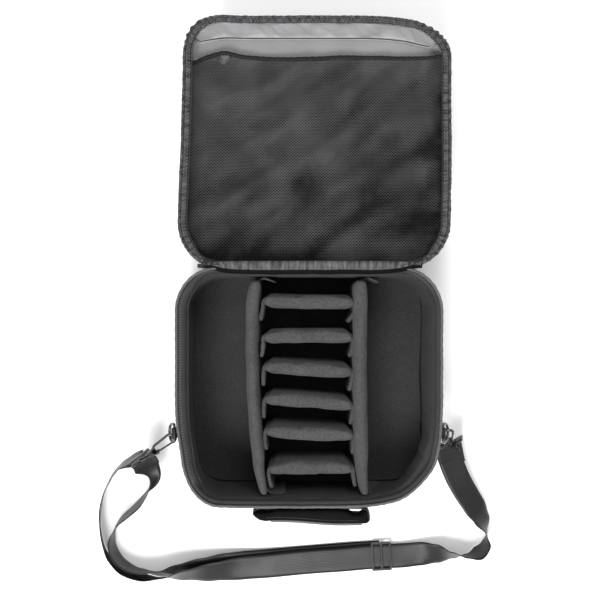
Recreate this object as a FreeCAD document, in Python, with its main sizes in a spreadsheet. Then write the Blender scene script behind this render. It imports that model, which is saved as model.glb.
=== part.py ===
"""Padded telescope carry case, opened flat, with lift-out dividers and a shoulder strap.

Frame: millimetres, +Z up, +Y from the handle side towards the lid, origin at the centre of the
base's bottom face. The lid is open by half a turn, so its rim lies level with the base's rim.
"""
import FreeCAD, Part
import math
import os
import Sketcher

Vector = FreeCAD.Vector
Rotation = FreeCAD.Rotation
Placement = FreeCAD.Placement

doc = FreeCAD.newDocument("carry_case")
sheet = doc.addObject("Spreadsheet::Sheet", "Sizes")

# Driving sizes, in millimetres and degrees.
SIZES = {
    # base box
    "case_width": 380, "case_depth": 342, "base_height": 148, "corner_radius": 62,
    "fabric": 1.5, "wall_foam": 10, "lining": 1.2, "bottom_fabric": 2, "bottom_board": 3,
    "bottom_foam": 8, "rim_drop": 4, "piping": 4, "tape_width": 11, "tape_thickness": 1.2,
    "coil": 3, "rim_gap": 0.5, "zipper_end": 3,
    # lid
    "lid_width": 384, "lid_depth": 352, "lid_height": 40, "lid_foam": 7, "hinge_gap": 3,
    "hinge_span": 190, "pocket_height": 8, "mesh": 1, "pocket_mouth": 46, "elastic": 6,
    "elastic_slack": 1,
    # dividers
    "divider_height": 124, "long_divider_length": 308, "long_divider_thickness": 14,
    "left_divider_at": -81, "right_divider_at": 72, "short_divider_height": 118,
    "short_divider_thickness": 13, "tab_thickness": 1.6, "tab_reach": 26, "tab_height": 96,
    "divider_clearance": 1.3, "divider_round": 5, "divider_play": 0.3, "long_tab_rise": 8,
    "short_tab_rise": 10,
    # carry handle
    "handle_width": 166, "handle_reach": 22, "handle_webbing": 3, "handle_height": 26,
    "handle_top": 134, "handle_play": 0.5, "grip_length": 124, "grip_thickness": 13,
    "grip_height": 32,
    "patch_width": 30, "patch_height": 40, "patch_thickness": 1.6,
    # rings, hooks and strap
    "ring_wire": 4, "ring_height_at": 115, "ring_y": -69, "ring_half": 13, "ring_drop": 20,
    "ring_bend": 3, "ring_lean": 28, "ring_play": 0.4, "web_tab_width": 16, "web_tab_height": 34,
    "web_tab_drop": 30, "web_neck_thickness": 3, "web_neck_rise": 0.6, "hook_wire": 4,
    "hook_bow": 7.5, "hook_length": 70,
    "strap_width": 38, "strap_tube": 6, "adjuster_length": 31, "adjuster_wire": 3,
    "adjuster_corner": 2.5, "adjuster_lift": 0.6, "adjuster_turn": 3,
    # zipper sliders
    "slider_at": 152, "slider_off": 1.2, "slider_length": 12, "slider_width": 6, "slider_thickness": 5,
    "pull_length": 26, "pull_width": 6, "pull_thickness": 1.5,
}
for row, (alias, number) in enumerate(SIZES.items(), start=1):
    sheet.set(f"A{row}", alias.replace("_", " "))
    sheet.set(f"B{row}", str(number))
    sheet.setAlias(f"B{row}", alias)
doc.recompute()


class Size:
    """A length as a sum of multiples of the sheet's cells, as text for setExpression and as a number."""

    def __init__(self, **terms):
        offset = terms.pop("plus", 0)
        parts = [f"({factor}) * Sizes.{alias}" for alias, factor in terms.items()]
        self.text = " + ".join(parts + [f"({offset})"])
        self.number = sum(factor * SIZES[alias] for alias, factor in terms.items()) + offset


def cell(alias):
    return float(sheet.get(alias))


nodes = []
TOUCHING = 0.5  # two heights nearer than this are taken as one


def keep(part, label):
    """Name a finished sub-part and list it for writing."""
    part.Label = label
    nodes.append(part)
    return part


def lift(part, z, y=None, x=None):
    """Bind an object's place to the sheet."""
    part.setExpression("Placement.Base.z", z.text)
    if y:
        part.setExpression("Placement.Base.y", y.text)
    if x:
        part.setExpression("Placement.Base.x", x.text)


# ---------------------------------------------------------------- rounded panels and walls

def new_sketch(body, name):
    """An empty sketch on the body's own XY plane."""
    plane = next(f for f in body.Origin.OriginFeatures if f.Role == "XY_Plane")
    sketch = body.newObject("Sketcher::SketchObject", name)
    sketch.AttachmentSupport = (plane, [""])
    sketch.MapMode = "FlatFace"
    return sketch


def rounded_loop(sketch, width, depth, radius):
    """A rectangle with round corners, centred on the sketch's origin."""
    w, d, r = width.number / 2, depth.number / 2, radius.number
    corners = [(w - r, r - d, -90), (w - r, d - r, 0), (r - w, d - r, 90), (r - w, r - d, 180)]
    first = sketch.GeometryCount
    ends = []
    for cx, cy, start in corners:
        circle = Part.Circle(Vector(cx, cy, 0), Vector(0, 0, 1), r)
        arc = Part.ArcOfCircle(circle, math.radians(start), math.radians(start + 90))
        sketch.addGeometry(arc, False)
        ends.append((arc.StartPoint, arc.EndPoint))
    for i in range(4):
        sketch.addGeometry(Part.LineSegment(ends[i][1], ends[(i + 1) % 4][0]), False)
    arcs = range(first, first + 4)
    lines = [first + 4 + i for i in range(4)]
    for i in range(4):
        sketch.addConstraint(Sketcher.Constraint("Tangent", arcs[i], 2, lines[i], 1))
        sketch.addConstraint(Sketcher.Constraint("Tangent", lines[i], 2, arcs[(i + 1) % 4], 1))
    for i, way in enumerate(("Vertical", "Horizontal", "Vertical", "Horizontal")):
        sketch.addConstraint(Sketcher.Constraint(way, lines[i]))
    for i in range(1, 4):
        sketch.addConstraint(Sketcher.Constraint("Equal", arcs[0], arcs[i]))
    sketch.addConstraint(Sketcher.Constraint("Symmetric", lines[0], 1, lines[2], 1, -1, 1))
    for size, constraint in (
        (radius, Sketcher.Constraint("Radius", arcs[0], r)),
        (width, Sketcher.Constraint("DistanceX", lines[2], 1, lines[0], 1, 2 * w)),
        (depth, Sketcher.Constraint("DistanceY", lines[3], 1, lines[1], 1, 2 * d)),
    ):
        number = sketch.addConstraint(constraint)
        sketch.setExpression(f"Constraints[{number}]", size.text)


def pad(body, sketch, height):
    feature = body.newObject("PartDesign::Pad", sketch.Name + "_pad")
    feature.Profile = sketch
    feature.Length = height.number
    feature.setExpression("Length", height.text)
    return feature


def rounded_body(name, loops, height, z, y=None):
    """A rounded panel (one loop) or a rounded wall (outer and inner loop) standing at z."""
    body = doc.addObject("PartDesign::Body", name)
    sketch = new_sketch(body, name + "_outline")
    for loop in loops:
        rounded_loop(sketch, *loop)
    pad(body, sketch, height)
    lift(body, z, y)
    return keep(body, name)


def inset(kind, **inward):
    """Width, depth and corner radius of the base's or lid's outline, moved inwards by the named sizes."""
    twice = {alias: -2 * times for alias, times in inward.items()}
    once = {alias: -times for alias, times in inward.items()}
    width, depth = ("case_width", "case_depth") if kind == "base" else ("lid_width", "lid_depth")
    return Size(**{width: 1}, **twice), Size(**{depth: 1}, **twice), Size(corner_radius=1, **once)


LID_Y = Size(case_depth=0.5, hinge_gap=1, lid_depth=0.5)
LID_BOTTOM = Size(base_height=1, rim_gap=3, lid_height=-1)

# base: bottom
rounded_body("base_bottom_panel", [inset("base", fabric=1)], Size(bottom_fabric=1), Size())
core = inset("base", fabric=1, wall_foam=1)
rounded_body("base_bottom_board", [core], Size(bottom_board=1), Size(bottom_fabric=1))
rounded_body("base_bottom_foam", [core], Size(bottom_foam=1), Size(bottom_fabric=1, bottom_board=1))

# base: walls
WALL_HEIGHT = Size(base_height=1, rim_drop=-1, bottom_fabric=-1)
FLOOR = Size(bottom_fabric=1, bottom_board=1, bottom_foam=1)
rounded_body("base_wall_fabric", [inset("base"), inset("base", fabric=1)], WALL_HEIGHT,
             Size(bottom_fabric=1))
rounded_body("base_wall_foam", [inset("base", fabric=1), core], WALL_HEIGHT, Size(bottom_fabric=1))


def lining_cup(name, kind, steps, floor, floor_at, rim_height, y=None):
    """A lining: a thin floor with a thin wall standing on its edge."""
    body = doc.addObject("PartDesign::Body", name)
    sketch = new_sketch(body, name + "_floor")
    rounded_loop(sketch, *inset(kind, **steps))
    pad(body, sketch, floor)
    wall = new_sketch(body, name + "_wall")
    rounded_loop(wall, *inset(kind, **steps))
    rounded_loop(wall, *inset(kind, lining=1, **steps))
    pad(body, wall, rim_height)
    lift(body, floor_at, y)
    return keep(body, name)


lining_cup("base_lining", "base", {"fabric": 1, "wall_foam": 1}, Size(lining=1), FLOOR,
           Size(base_height=1, rim_drop=-1, bottom_fabric=-1, bottom_board=-1, bottom_foam=-1))

# lid: top panel (lowest while the lid is open), foam, walls and lining
rounded_body("lid_top_panel", [inset("lid", fabric=1)], Size(fabric=1), LID_BOTTOM, LID_Y)
lid_core = inset("lid", fabric=1, lid_foam=1)
rounded_body("lid_top_foam", [lid_core], Size(lid_foam=1),
             Size(base_height=1, rim_gap=3, lid_height=-1, fabric=1), LID_Y)
LID_WALL = Size(lid_height=1, rim_drop=-1, rim_gap=-1, fabric=-1)
LID_WALL_AT = Size(base_height=1, rim_gap=3, lid_height=-1, fabric=1)
rounded_body("lid_wall_fabric", [inset("lid"), inset("lid", fabric=1)], LID_WALL, LID_WALL_AT, LID_Y)
rounded_body("lid_wall_foam", [inset("lid", fabric=1), lid_core], LID_WALL, LID_WALL_AT, LID_Y)
lining_cup("lid_lining", "lid", {"fabric": 1, "lid_foam": 1}, Size(lining=1),
           Size(base_height=1, rim_gap=3, lid_height=-1, fabric=1, lid_foam=1),
           Size(lid_height=1, rim_drop=-1, rim_gap=-1, fabric=-1, lid_foam=-1), LID_Y)

# ---------------------------------------------------------------- mesh pocket in the lid

def box_in(body, name, width, depth, height):
    sketch = new_sketch(body, name)
    w, d = width.number / 2, depth.number / 2
    corners = [Vector(-w, -d, 0), Vector(w, -d, 0), Vector(w, d, 0), Vector(-w, d, 0)]
    for i in range(4):
        sketch.addGeometry(Part.LineSegment(corners[i], corners[(i + 1) % 4]), False)
    for i in range(4):
        sketch.addConstraint(Sketcher.Constraint("Coincident", i, 2, (i + 1) % 4, 1))
    for i, way in enumerate(("Horizontal", "Vertical", "Horizontal", "Vertical")):
        sketch.addConstraint(Sketcher.Constraint(way, i))
    sketch.addConstraint(Sketcher.Constraint("Symmetric", 0, 1, 2, 1, -1, 1))
    across = sketch.addConstraint(Sketcher.Constraint("DistanceX", 0, 1, 0, 2, 2 * w))
    along = sketch.addConstraint(Sketcher.Constraint("DistanceY", 1, 1, 1, 2, 2 * d))
    sketch.setExpression(f"Constraints[{across}]", width.text)
    sketch.setExpression(f"Constraints[{along}]", depth.text)
    return pad(body, sketch, height)


MESH_WIDTH = Size(lid_width=1, fabric=-2, lid_foam=-2, lining=-2)
MESH_DEPTH = Size(lid_depth=1, fabric=-2, lid_foam=-2, lining=-2, pocket_mouth=-1, elastic=-1)
MESH_BACK = Size(case_depth=0.5, hinge_gap=1, fabric=1, lid_foam=1, lining=1)
MESH_AT = Size(base_height=1, rim_gap=3, lid_height=-1, fabric=1, lid_foam=1, lining=1, pocket_height=1)


def round_corners(body, base, name, radius, wanted):
    """Fillet the edges of a feature that the test picks."""
    doc.recompute()
    edges = [f"Edge{i}" for i, e in enumerate(base.Shape.Edges, start=1) if wanted(e)]
    fillet = body.newObject("PartDesign::Fillet", name)
    fillet.Base = (base, edges)
    fillet.Radius = radius.number
    fillet.setExpression("Radius", radius.text)
    return fillet


def upright(edge):
    ends = edge.Vertexes
    return len(ends) == 2 and abs(ends[0].Z - ends[1].Z) > TOUCHING


mesh = doc.addObject("PartDesign::Body", "mesh_pocket")
mesh_pad = box_in(mesh, "mesh_pocket_outline", MESH_WIDTH, MESH_DEPTH, Size(mesh=1))
round_corners(mesh, mesh_pad, "mesh_pocket_corners",
              Size(corner_radius=1, fabric=-1, lid_foam=-1, lining=-1),
              lambda e: upright(e) and e.Vertexes[0].Y < 0)
lift(mesh, MESH_AT, Size(case_depth=0.5, hinge_gap=1, lid_depth=0.5, pocket_mouth=-0.5, elastic=-0.5))
keep(mesh, "mesh_pocket")

elastic = doc.addObject("PartDesign::Body", "pocket_elastic")
ELASTIC_WIDTH = Size(lid_width=1, fabric=-2, lid_foam=-2, lining=-2, elastic_slack=-2)
box_in(elastic, "pocket_elastic_outline", ELASTIC_WIDTH, Size(elastic=1), Size(mesh=2))
lift(elastic, Size(base_height=1, rim_gap=3, lid_height=-1, fabric=1, lid_foam=1, lining=1,
                   pocket_height=1, mesh=-0.5),
     Size(case_depth=0.5, hinge_gap=1, lid_depth=1, fabric=-1, lid_foam=-1, lining=-1,
          pocket_mouth=-1, elastic=-0.5))
keep(elastic, "pocket_elastic")

# ---------------------------------------------------------------- rims: piping, zipper tape, coil

def rim_path(half_width, half_depth, radius, z, y, gap=0.0, side=-1):
    """The rounded rectangle as a wire. With a gap, it is open by that much on the side towards side * Y."""
    w, d, r = half_width, half_depth, radius

    def at(px, py):
        return Vector(px, y - side * py, z)

    def corner(cx, cy, start):
        mid, end = start + 45, start + 90
        angles = [math.radians(a) for a in (start, mid, end)]
        return Part.Arc(*[at(cx + r * math.cos(a), cy + r * math.sin(a)) for a in angles]).toShape()

    begin = gap / 2
    pieces = [
        Part.LineSegment(at(begin, -d), at(w - r, -d)).toShape(), corner(w - r, r - d, -90),
        Part.LineSegment(at(w, r - d), at(w, d - r)).toShape(), corner(w - r, d - r, 0),
        Part.LineSegment(at(w - r, d), at(r - w, d)).toShape(), corner(r - w, d - r, 90),
        Part.LineSegment(at(-w, d - r), at(-w, r - d)).toShape(), corner(r - w, r - d, 180),
        Part.LineSegment(at(r - w, -d), at(-begin, -d)).toShape(),
    ]
    return Part.Wire(pieces)


def swept(path, radius):
    """A round rod along a wire."""
    edge = path.OrderedEdges[0]
    start = edge.valueAt(edge.FirstParameter)
    tangent = edge.tangentAt(edge.FirstParameter)
    if (start - path.OrderedVertexes[0].Point).Length > TOUCHING:
        start = edge.valueAt(edge.LastParameter)
        tangent = edge.tangentAt(edge.LastParameter) * -1
    ring = Part.Wire([Part.Circle(start, tangent, radius).toShape()])
    return path.makePipeShell([ring], True, False)


def shape_part(name, shape):
    part = doc.addObject("Part::Feature", name)
    part.Shape = shape
    return keep(part, name)


def rim_rod(name, kind, rod, steps, z, gap):
    """Piping or a zipper coil along the base's or the lid's rim."""
    width, depth, radius = (s.number for s in inset(kind, **steps))
    y = 0 if kind == "base" else LID_Y.number
    side = -1 if kind == "base" else 1
    path = rim_path(width / 2 - rod / 2, depth / 2 - rod / 2, radius - rod / 2, z, y, gap, side)
    return shape_part(name, swept(path, rod / 2))


def zipper_tape(name, kind, z, y):
    """A flat band inside the piping, open along the hinge."""
    body = doc.addObject("PartDesign::Body", name)
    sketch = new_sketch(body, name + "_outline")
    rounded_loop(sketch, *inset(kind, piping=1))
    rounded_loop(sketch, *inset(kind, piping=1, tape_width=1))
    pad(body, sketch, Size(tape_thickness=1))
    cutter = new_sketch(body, name + "_gap")
    side = 1 if kind == "base" else -1
    half = cell("hinge_span") / 2
    reach = side * cell("lid_depth")
    corners = [Vector(-half, 0, 0), Vector(half, 0, 0), Vector(half, reach, 0), Vector(-half, reach, 0)]
    for i in range(4):
        cutter.addGeometry(Part.LineSegment(corners[i], corners[(i + 1) % 4]), False)
    for i in range(4):
        cutter.addConstraint(Sketcher.Constraint("Coincident", i, 2, (i + 1) % 4, 1))
    for i, way in enumerate(("Horizontal", "Vertical", "Horizontal", "Vertical")):
        cutter.addConstraint(Sketcher.Constraint(way, i))
    cutter.addConstraint(Sketcher.Constraint("Symmetric", 0, 1, 0, 2, -1, 1))
    across = cutter.addConstraint(Sketcher.Constraint("DistanceX", 0, 1, 0, 2, 2 * half))
    cutter.addConstraint(Sketcher.Constraint("DistanceY", 1, 1, 1, 2, reach))
    cutter.setExpression(f"Constraints[{across}]", "Sizes.hinge_span")
    pocket = body.newObject("PartDesign::Pocket", name + "_gap_cut")
    pocket.Profile = cutter
    pocket.Midplane = True
    pocket.Length = 4 * cell("tape_thickness")
    pocket.setExpression("Length", "4 * Sizes.tape_thickness")
    lift(body, z, y)
    doc.recompute()
    middle_of_hinge = Vector(0, body.Placement.Base.y + side * cell("case_depth") / 2, body.Placement.Base.z)
    if body.Shape.distToShape(Part.Vertex(middle_of_hinge))[0] < half / 2:
        raise RuntimeError(name + " was not cut open along the hinge")
    return keep(body, name)


NO_GAP = 0.0
ZIPPER_GAP = cell("hinge_span") + 2 * cell("zipper_end")
for kind, gaps, rim_y in (("base", 0, None), ("lid", 2, LID_Y)):
    rim = Size(base_height=1, rim_drop=-1, rim_gap=gaps)
    rim_rod(kind + "_piping", kind, cell("piping"), {}, rim.number + cell("piping") / 2, NO_GAP)
    zipper_tape(kind + "_zipper_tape", kind, rim, rim_y)
    rim_rod(kind + "_zipper_coil", kind, cell("coil"), {"piping": 1, "tape_width": 1, "coil": -1},
            rim.number + cell("tape_thickness") + cell("coil") / 2, ZIPPER_GAP)


# ---------------------------------------------------------------- boxes, rods and cuts

def block(name, length, width, height, x, y, z):
    """A Part box whose lowest corner is at x, y, z. Every size is a Size."""
    part = doc.addObject("Part::Box", name)
    for prop, size in (("Length", length), ("Width", width), ("Height", height),
                       ("Placement.Base.x", x), ("Placement.Base.y", y), ("Placement.Base.z", z)):
        part.setExpression(prop, size.text)
    return part


def fused(name, parts):
    part = doc.addObject("Part::MultiFuse", name)
    part.Shapes = parts
    return keep(part, name)


def cut(name, base, tool):
    part = doc.addObject("Part::Cut", name)
    part.Base = base
    part.Tool = tool
    return keep(part, name)


def rod_between(a, b, radius):
    return Part.makeCylinder(radius, (b - a).Length, a, b - a)


# fabric hinge strip between the two rims
keep(block("hinge_strip", Size(hinge_span=1), Size(hinge_gap=1, rim_gap=-1), Size(fabric=1),
           Size(hinge_span=-0.5), Size(case_depth=0.5, rim_gap=0.5), Size(base_height=1, rim_drop=-1)),
     "hinge_strip")

# ---------------------------------------------------------------- dividers

DIVIDER_FLOOR = Size(bottom_fabric=1, bottom_board=1, bottom_foam=1, lining=1, divider_play=1)


def divider_core(name, length_x, length_y, height):
    """A padded board with a rounded top and rounded ends, standing on z = 0 of its own body."""
    body = doc.addObject("PartDesign::Body", name)
    board = box_in(body, name + "_outline", length_x, length_y, height)
    round_corners(body, board, name + "_rounding", Size(divider_round=1),
                  lambda e: min(v.Z for v in e.Vertexes) > TOUCHING)
    return keep(body, name)


def long_divider(side, at):
    name = side + "_divider"
    core_body = divider_core(name, Size(long_divider_thickness=1), Size(long_divider_length=1),
                             Size(divider_height=1))
    lift(core_body, DIVIDER_FLOOR, x=Size(**{at: 1}))
    span = Size(long_divider_thickness=0.5, tab_reach=1, divider_round=-1)
    z = Size(bottom_fabric=1, bottom_board=1, bottom_foam=1, lining=1, long_tab_rise=1)
    tabs = [
        block(f"{name}_{end}_tab", span, Size(tab_thickness=1), Size(tab_height=1), Size(**{at: 1}), y, z)
        for end, y in (("front", Size(long_divider_length=-0.5, tab_thickness=-1)),
                       ("back", Size(long_divider_length=0.5)))
    ]
    fused(name + "_tabs", tabs)


long_divider("left", "left_divider_at")
long_divider("right", "right_divider_at")

# Six short dividers, from the hinge end to the handle end: middle line and turn about Z.
SHORT_DIVIDERS = [(123, 0.2), (72, 0.3), (26.5, -0.8), (-18, -1.0), (-65, -0.7), (-119, 0.3)]
SHORT_LENGTH = Size(right_divider_at=1, left_divider_at=-1, long_divider_thickness=-1,
                    tab_thickness=-2, divider_clearance=-2)
SHORT_MIDDLE = Size(right_divider_at=0.5, left_divider_at=0.5)
TAB_SPAN = Size(short_divider_thickness=0.5, tab_reach=1)


def turned(part, place, angle):
    part.Placement = Placement(place, Rotation(Vector(0, 0, 1), angle))


def short_divider(number, y, angle):
    name = f"short_divider_{number}"
    place = Vector(SHORT_MIDDLE.number, y, DIVIDER_FLOOR.number)
    core = divider_core(name, SHORT_LENGTH, Size(short_divider_thickness=1), Size(short_divider_height=1))
    turned(core, place, angle)
    left = Size(right_divider_at=-0.5, left_divider_at=0.5, long_divider_thickness=0.5, divider_clearance=1)
    right = Size(right_divider_at=0.5, left_divider_at=-0.5, long_divider_thickness=-0.5,
                 tab_thickness=-1, divider_clearance=-1)
    tabs = [
        block(f"{name}_{side}_tab", Size(tab_thickness=1), TAB_SPAN, Size(tab_height=1), x,
              Size(tab_reach=-1), Size(short_tab_rise=1))
        for side, x in (("left", left), ("right", right))
    ]
    turned(fused(name + "_tabs", tabs), place, angle)


for number, (y, angle) in enumerate(SHORT_DIVIDERS, start=1):
    short_divider(number, y, angle)

# ---------------------------------------------------------------- carry handle on the front wall

HANDLE_BOTTOM = Size(handle_top=1, handle_height=-1)
BAR_Y = Size(case_depth=-0.5, handle_play=-1, handle_reach=-1)
GRIP_Y = Size(case_depth=-0.5, handle_play=-1, handle_reach=-1, handle_webbing=0.5, grip_thickness=-0.5)
legs = [
    block("handle_" + side + "_leg", Size(handle_webbing=1), Size(handle_reach=1), Size(handle_height=1),
          x, BAR_Y, HANDLE_BOTTOM)
    for side, x in (("left", Size(handle_width=-0.5)),
                    ("right", Size(handle_width=0.5, handle_webbing=-1)))
]
bar = block("handle_bar", Size(handle_width=1), Size(handle_webbing=1), Size(handle_height=1),
            Size(handle_width=-0.5), BAR_Y, HANDLE_BOTTOM)
fused("handle_webbing", legs + [bar])
grip_outer = block("grip_outer", Size(grip_length=1), Size(grip_thickness=1), Size(grip_height=1),
                   Size(grip_length=-0.5), GRIP_Y,
                   Size(handle_top=1, handle_height=-0.5, grip_height=-0.5))
grip_slot = block("grip_slot", Size(grip_length=1), Size(handle_webbing=1), Size(handle_height=1),
                  Size(grip_length=-0.5), BAR_Y, HANDLE_BOTTOM)
cut("handle_grip", grip_outer, grip_slot)

PATCH_AT = Size(handle_top=1, handle_height=-0.5, patch_height=-0.5)
for side, x in (("left", Size(handle_width=-0.5, handle_webbing=2)),
                ("right", Size(handle_width=0.5, handle_webbing=-2, patch_width=-1))):
    keep(block(f"handle_patch_{side}", Size(patch_width=1), Size(patch_thickness=1), Size(patch_height=1),
               x, Size(case_depth=-0.5, patch_thickness=-1), PATCH_AT), f"handle_patch_{side}")

# ---------------------------------------------------------------- D-rings and their webbing tabs

RING_X = cell("case_width") / 2 + cell("ring_wire") + cell("ring_play")
RING_Y = cell("ring_y")
RING_Z = cell("ring_height_at")
RING_LOOP_BORE = cell("ring_wire") / 2 + 0.35
RING_LOOP_WALL = 1.3


def d_ring_shape():
    """A straight bar along Y through the origin with a bow hanging below it."""
    half = cell("ring_half")
    bend = cell("ring_bend")
    side = cell("ring_drop") - half

    def arc(cy, cz, r, start, end):
        at = [Vector(0, cy + r * math.cos(math.radians(a)), cz + r * math.sin(math.radians(a)))
              for a in (start, (start + end) / 2, end)]
        return Part.Arc(*at).toShape()

    path = Part.Wire([
        Part.LineSegment(Vector(0, bend - half, 0), Vector(0, half - bend, 0)).toShape(),
        arc(half - bend, -bend, bend, 90, 0),
        Part.LineSegment(Vector(0, half, -bend), Vector(0, half, -side)).toShape(),
        arc(0, -side, half, 0, -180),
        Part.LineSegment(Vector(0, -half, -side), Vector(0, -half, -bend)).toShape(),
        arc(bend - half, -bend, bend, 180, 90),
    ])
    return swept(path, cell("ring_wire") / 2)


def web_tab_shape(side):
    """A stitched patch on the wall with a sewn loop around the D-ring's bar."""
    wide = cell("web_tab_width")
    thick = cell("patch_thickness")
    wall = side * cell("case_width") / 2
    low_y = RING_Y - wide / 2
    loop_radius = RING_LOOP_BORE + RING_LOOP_WALL
    start = Vector(side * RING_X, low_y, RING_Z)
    loop = Part.makeCylinder(loop_radius, wide, start, Vector(0, 1, 0))
    patch_at = Vector(min(wall, wall + side * thick), low_y, RING_Z - cell("web_tab_drop"))
    patch = Part.makeBox(thick, wide, cell("web_tab_height"), patch_at)
    reach = RING_X - cell("case_width") / 2
    neck_at = Vector(min(wall, wall + side * reach), low_y, RING_Z + cell("web_neck_rise"))
    neck = Part.makeBox(reach, wide, cell("web_neck_thickness"), neck_at)
    bore = Part.makeCylinder(RING_LOOP_BORE, wide, start, Vector(0, 1, 0))
    return loop.fuse([patch, neck]).cut(bore).removeSplitter()


# Where on the D-ring's bow each hook hangs, as an angle in the ring's plane: -90 is its lowest point.
HOOK_ANGLES = {"left": -135, "right": -90}
hook_at = {}
for side, name in ((-1, "left"), (1, "right")):
    shape_part("web_tab_" + name, web_tab_shape(side))
    ring = shape_part("d_ring_" + name, d_ring_shape())
    lean = Rotation(Vector(0, 1, 0), -side * cell("ring_lean"))
    ring.Placement = Placement(Vector(side * RING_X, RING_Y, RING_Z), lean)
    bow = cell("ring_half")
    angle = math.radians(HOOK_ANGLES[name])
    on_bow = Vector(0, bow * math.cos(angle), bow - cell("ring_drop") + bow * math.sin(angle))
    hook_at[name] = ring.Placement.multVec(on_bow)

# ---------------------------------------------------------------- snap hooks, gates and strap rings

# Heights along the hook, from the D-ring's wire down to the strap, and the radii there.
BOW_TOP = 7.5
KNEE_Z = -30.0
TIP_LENGTH = 5.0
BLOCK_TOP = -40.0
BLOCK_BOTTOM = -50.0
BLOCK_RADIUS = 5.5
FOOT_X = -2.5
FOOT_DEPTH = 3.0
NECK_RADIUS = 2.2
NECK_BOTTOM = -57.5
HEAD_RADIUS = 3.6
HEAD_LENGTH = 2.0
LOOP_TOP = -54.0
LOOP_BOTTOM = -cell("hook_length")
BOSS_RADIUS = 4.2
BOSS_LENGTH = 5.4
RUNNING = 0.06  # radial play between a pin or neck and its bore
# The gate's pin and the two lugs that carry it.
PIN_X = 4.5
PIN_Z = -36.5
PIN_RADIUS = 1.1
PIN_LENGTH = 6.4
LUG = Vector(3.2, 1.3, 6.0)
LUG_SINK = 0.5
EYE_RADIUS = 2.4
EYE_LENGTH = 3.2
GATE_RADIUS = 1.5
GATE_TOP = -6.0


STRAP_PLAY = 3.0  # room beside the webbing in its ring, on each side


def hook_shape():
    """The hook in its own frame: the D-ring's wire passes the origin along Y, the strap lies towards -Z."""
    bow, wire = cell("hook_bow"), cell("hook_wire") / 2
    centre = BOW_TOP - bow
    left, tip = Vector(-bow, 0, centre), Vector(bow, 0, centre)
    foot, knee = Vector(FOOT_X, 0, BLOCK_TOP - FOOT_DEPTH), Vector(-bow, 0, KNEE_Z)
    rod = swept(Part.Wire([
        Part.LineSegment(knee, left).toShape(),
        Part.Arc(left, Vector(0, 0, BOW_TOP), tip).toShape(),
        Part.LineSegment(tip, tip - Vector(0, 0, TIP_LENGTH)).toShape(),
    ]), wire)
    leg = rod_between(foot, knee, wire).fuse(Part.makeSphere(wire, knee))
    barrel = Part.makeCylinder(BLOCK_RADIUS, BLOCK_TOP - BLOCK_BOTTOM, Vector(0, 0, BLOCK_BOTTOM))
    neck = Part.makeCylinder(NECK_RADIUS, BLOCK_BOTTOM - NECK_BOTTOM, Vector(0, 0, NECK_BOTTOM))
    head = Part.makeCylinder(HEAD_RADIUS, HEAD_LENGTH, Vector(0, 0, NECK_BOTTOM - HEAD_LENGTH))
    lugs = [Part.makeBox(LUG.x, LUG.y, LUG.z, Vector(PIN_X - LUG.x / 2, y, BLOCK_TOP - LUG_SINK))
            for y in (-PIN_LENGTH / 2, PIN_LENGTH / 2 - LUG.y)]
    pin = Part.makeCylinder(PIN_RADIUS, PIN_LENGTH, Vector(PIN_X, -PIN_LENGTH / 2, PIN_Z), Vector(0, 1, 0))
    return rod.fuse([leg, barrel, neck, head, pin] + lugs).removeSplitter()


def gate_shape():
    """The sprung bar that closes the hook's mouth, with an eye on the pin."""
    eye_at = Vector(PIN_X, -EYE_LENGTH / 2, PIN_Z)
    eye = Part.makeCylinder(EYE_RADIUS, EYE_LENGTH, eye_at, Vector(0, 1, 0))
    top = Vector(cell("hook_bow"), 0, GATE_TOP)
    bar_rod = rod_between(Vector(PIN_X, 0, PIN_Z), top, GATE_RADIUS)
    bore = Part.makeCylinder(PIN_RADIUS + RUNNING, EYE_LENGTH, eye_at, Vector(0, 1, 0))
    return eye.fuse(bar_rod).cut(bore).removeSplitter()


def strap_ring_shape():
    """A rectangular loop for the webbing with a boss around the hook's neck."""
    half, wire = cell("strap_width") / 2 + STRAP_PLAY, cell("ring_wire") / 2
    corners = [Vector(-half, 0, LOOP_TOP), Vector(half, 0, LOOP_TOP), Vector(half, 0, LOOP_BOTTOM),
               Vector(-half, 0, LOOP_BOTTOM)]
    frame = [rod_between(corners[i], corners[(i + 1) % 4], wire) for i in range(4)]
    knobs = [Part.makeSphere(wire, c) for c in corners]
    boss_at = Vector(0, 0, LOOP_TOP - BOSS_LENGTH / 2)
    boss = Part.makeCylinder(BOSS_RADIUS, BOSS_LENGTH, boss_at)
    bore = Part.makeCylinder(NECK_RADIUS + RUNNING, BOSS_LENGTH, boss_at)
    return boss.fuse(frame + knobs).cut(bore).removeSplitter()


def along(z_axis, near):
    """The rotation whose Z is z_axis and whose Y is as near as possible to the given direction."""
    z = Vector(z_axis).normalize()
    y = (near - z * near.dot(z)).normalize()
    return Rotation(y.cross(z), y, z, "ZXY")


# The way each hook hangs from its D-ring, the way its bow faces, and the way the strap's width lies.
HOOK_LINES = {
    "left": (Vector(-46, -38, -34), Vector(-0.05, 0.6, -0.8), Vector(0.83, 0.55, 0)),
    "right": (Vector(11, -30, -58), Vector(0, 1, 0), Vector(0.85, 0.53, 0)),
}
for name, (line, bow_faces, width_way) in HOOK_LINES.items():
    up = line * -1
    turn = along(up, bow_faces)
    for part_name, make in (("snap_hook_", hook_shape), ("hook_gate_", gate_shape)):
        shape_part(part_name + name, make()).Placement = Placement(hook_at[name], turn)
    ring_turn = along(up, width_way.cross(up) * -1)
    shape_part("strap_ring_" + name, strap_ring_shape()).Placement = Placement(hook_at[name], ring_turn)

# ---------------------------------------------------------------- shoulder strap

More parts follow.
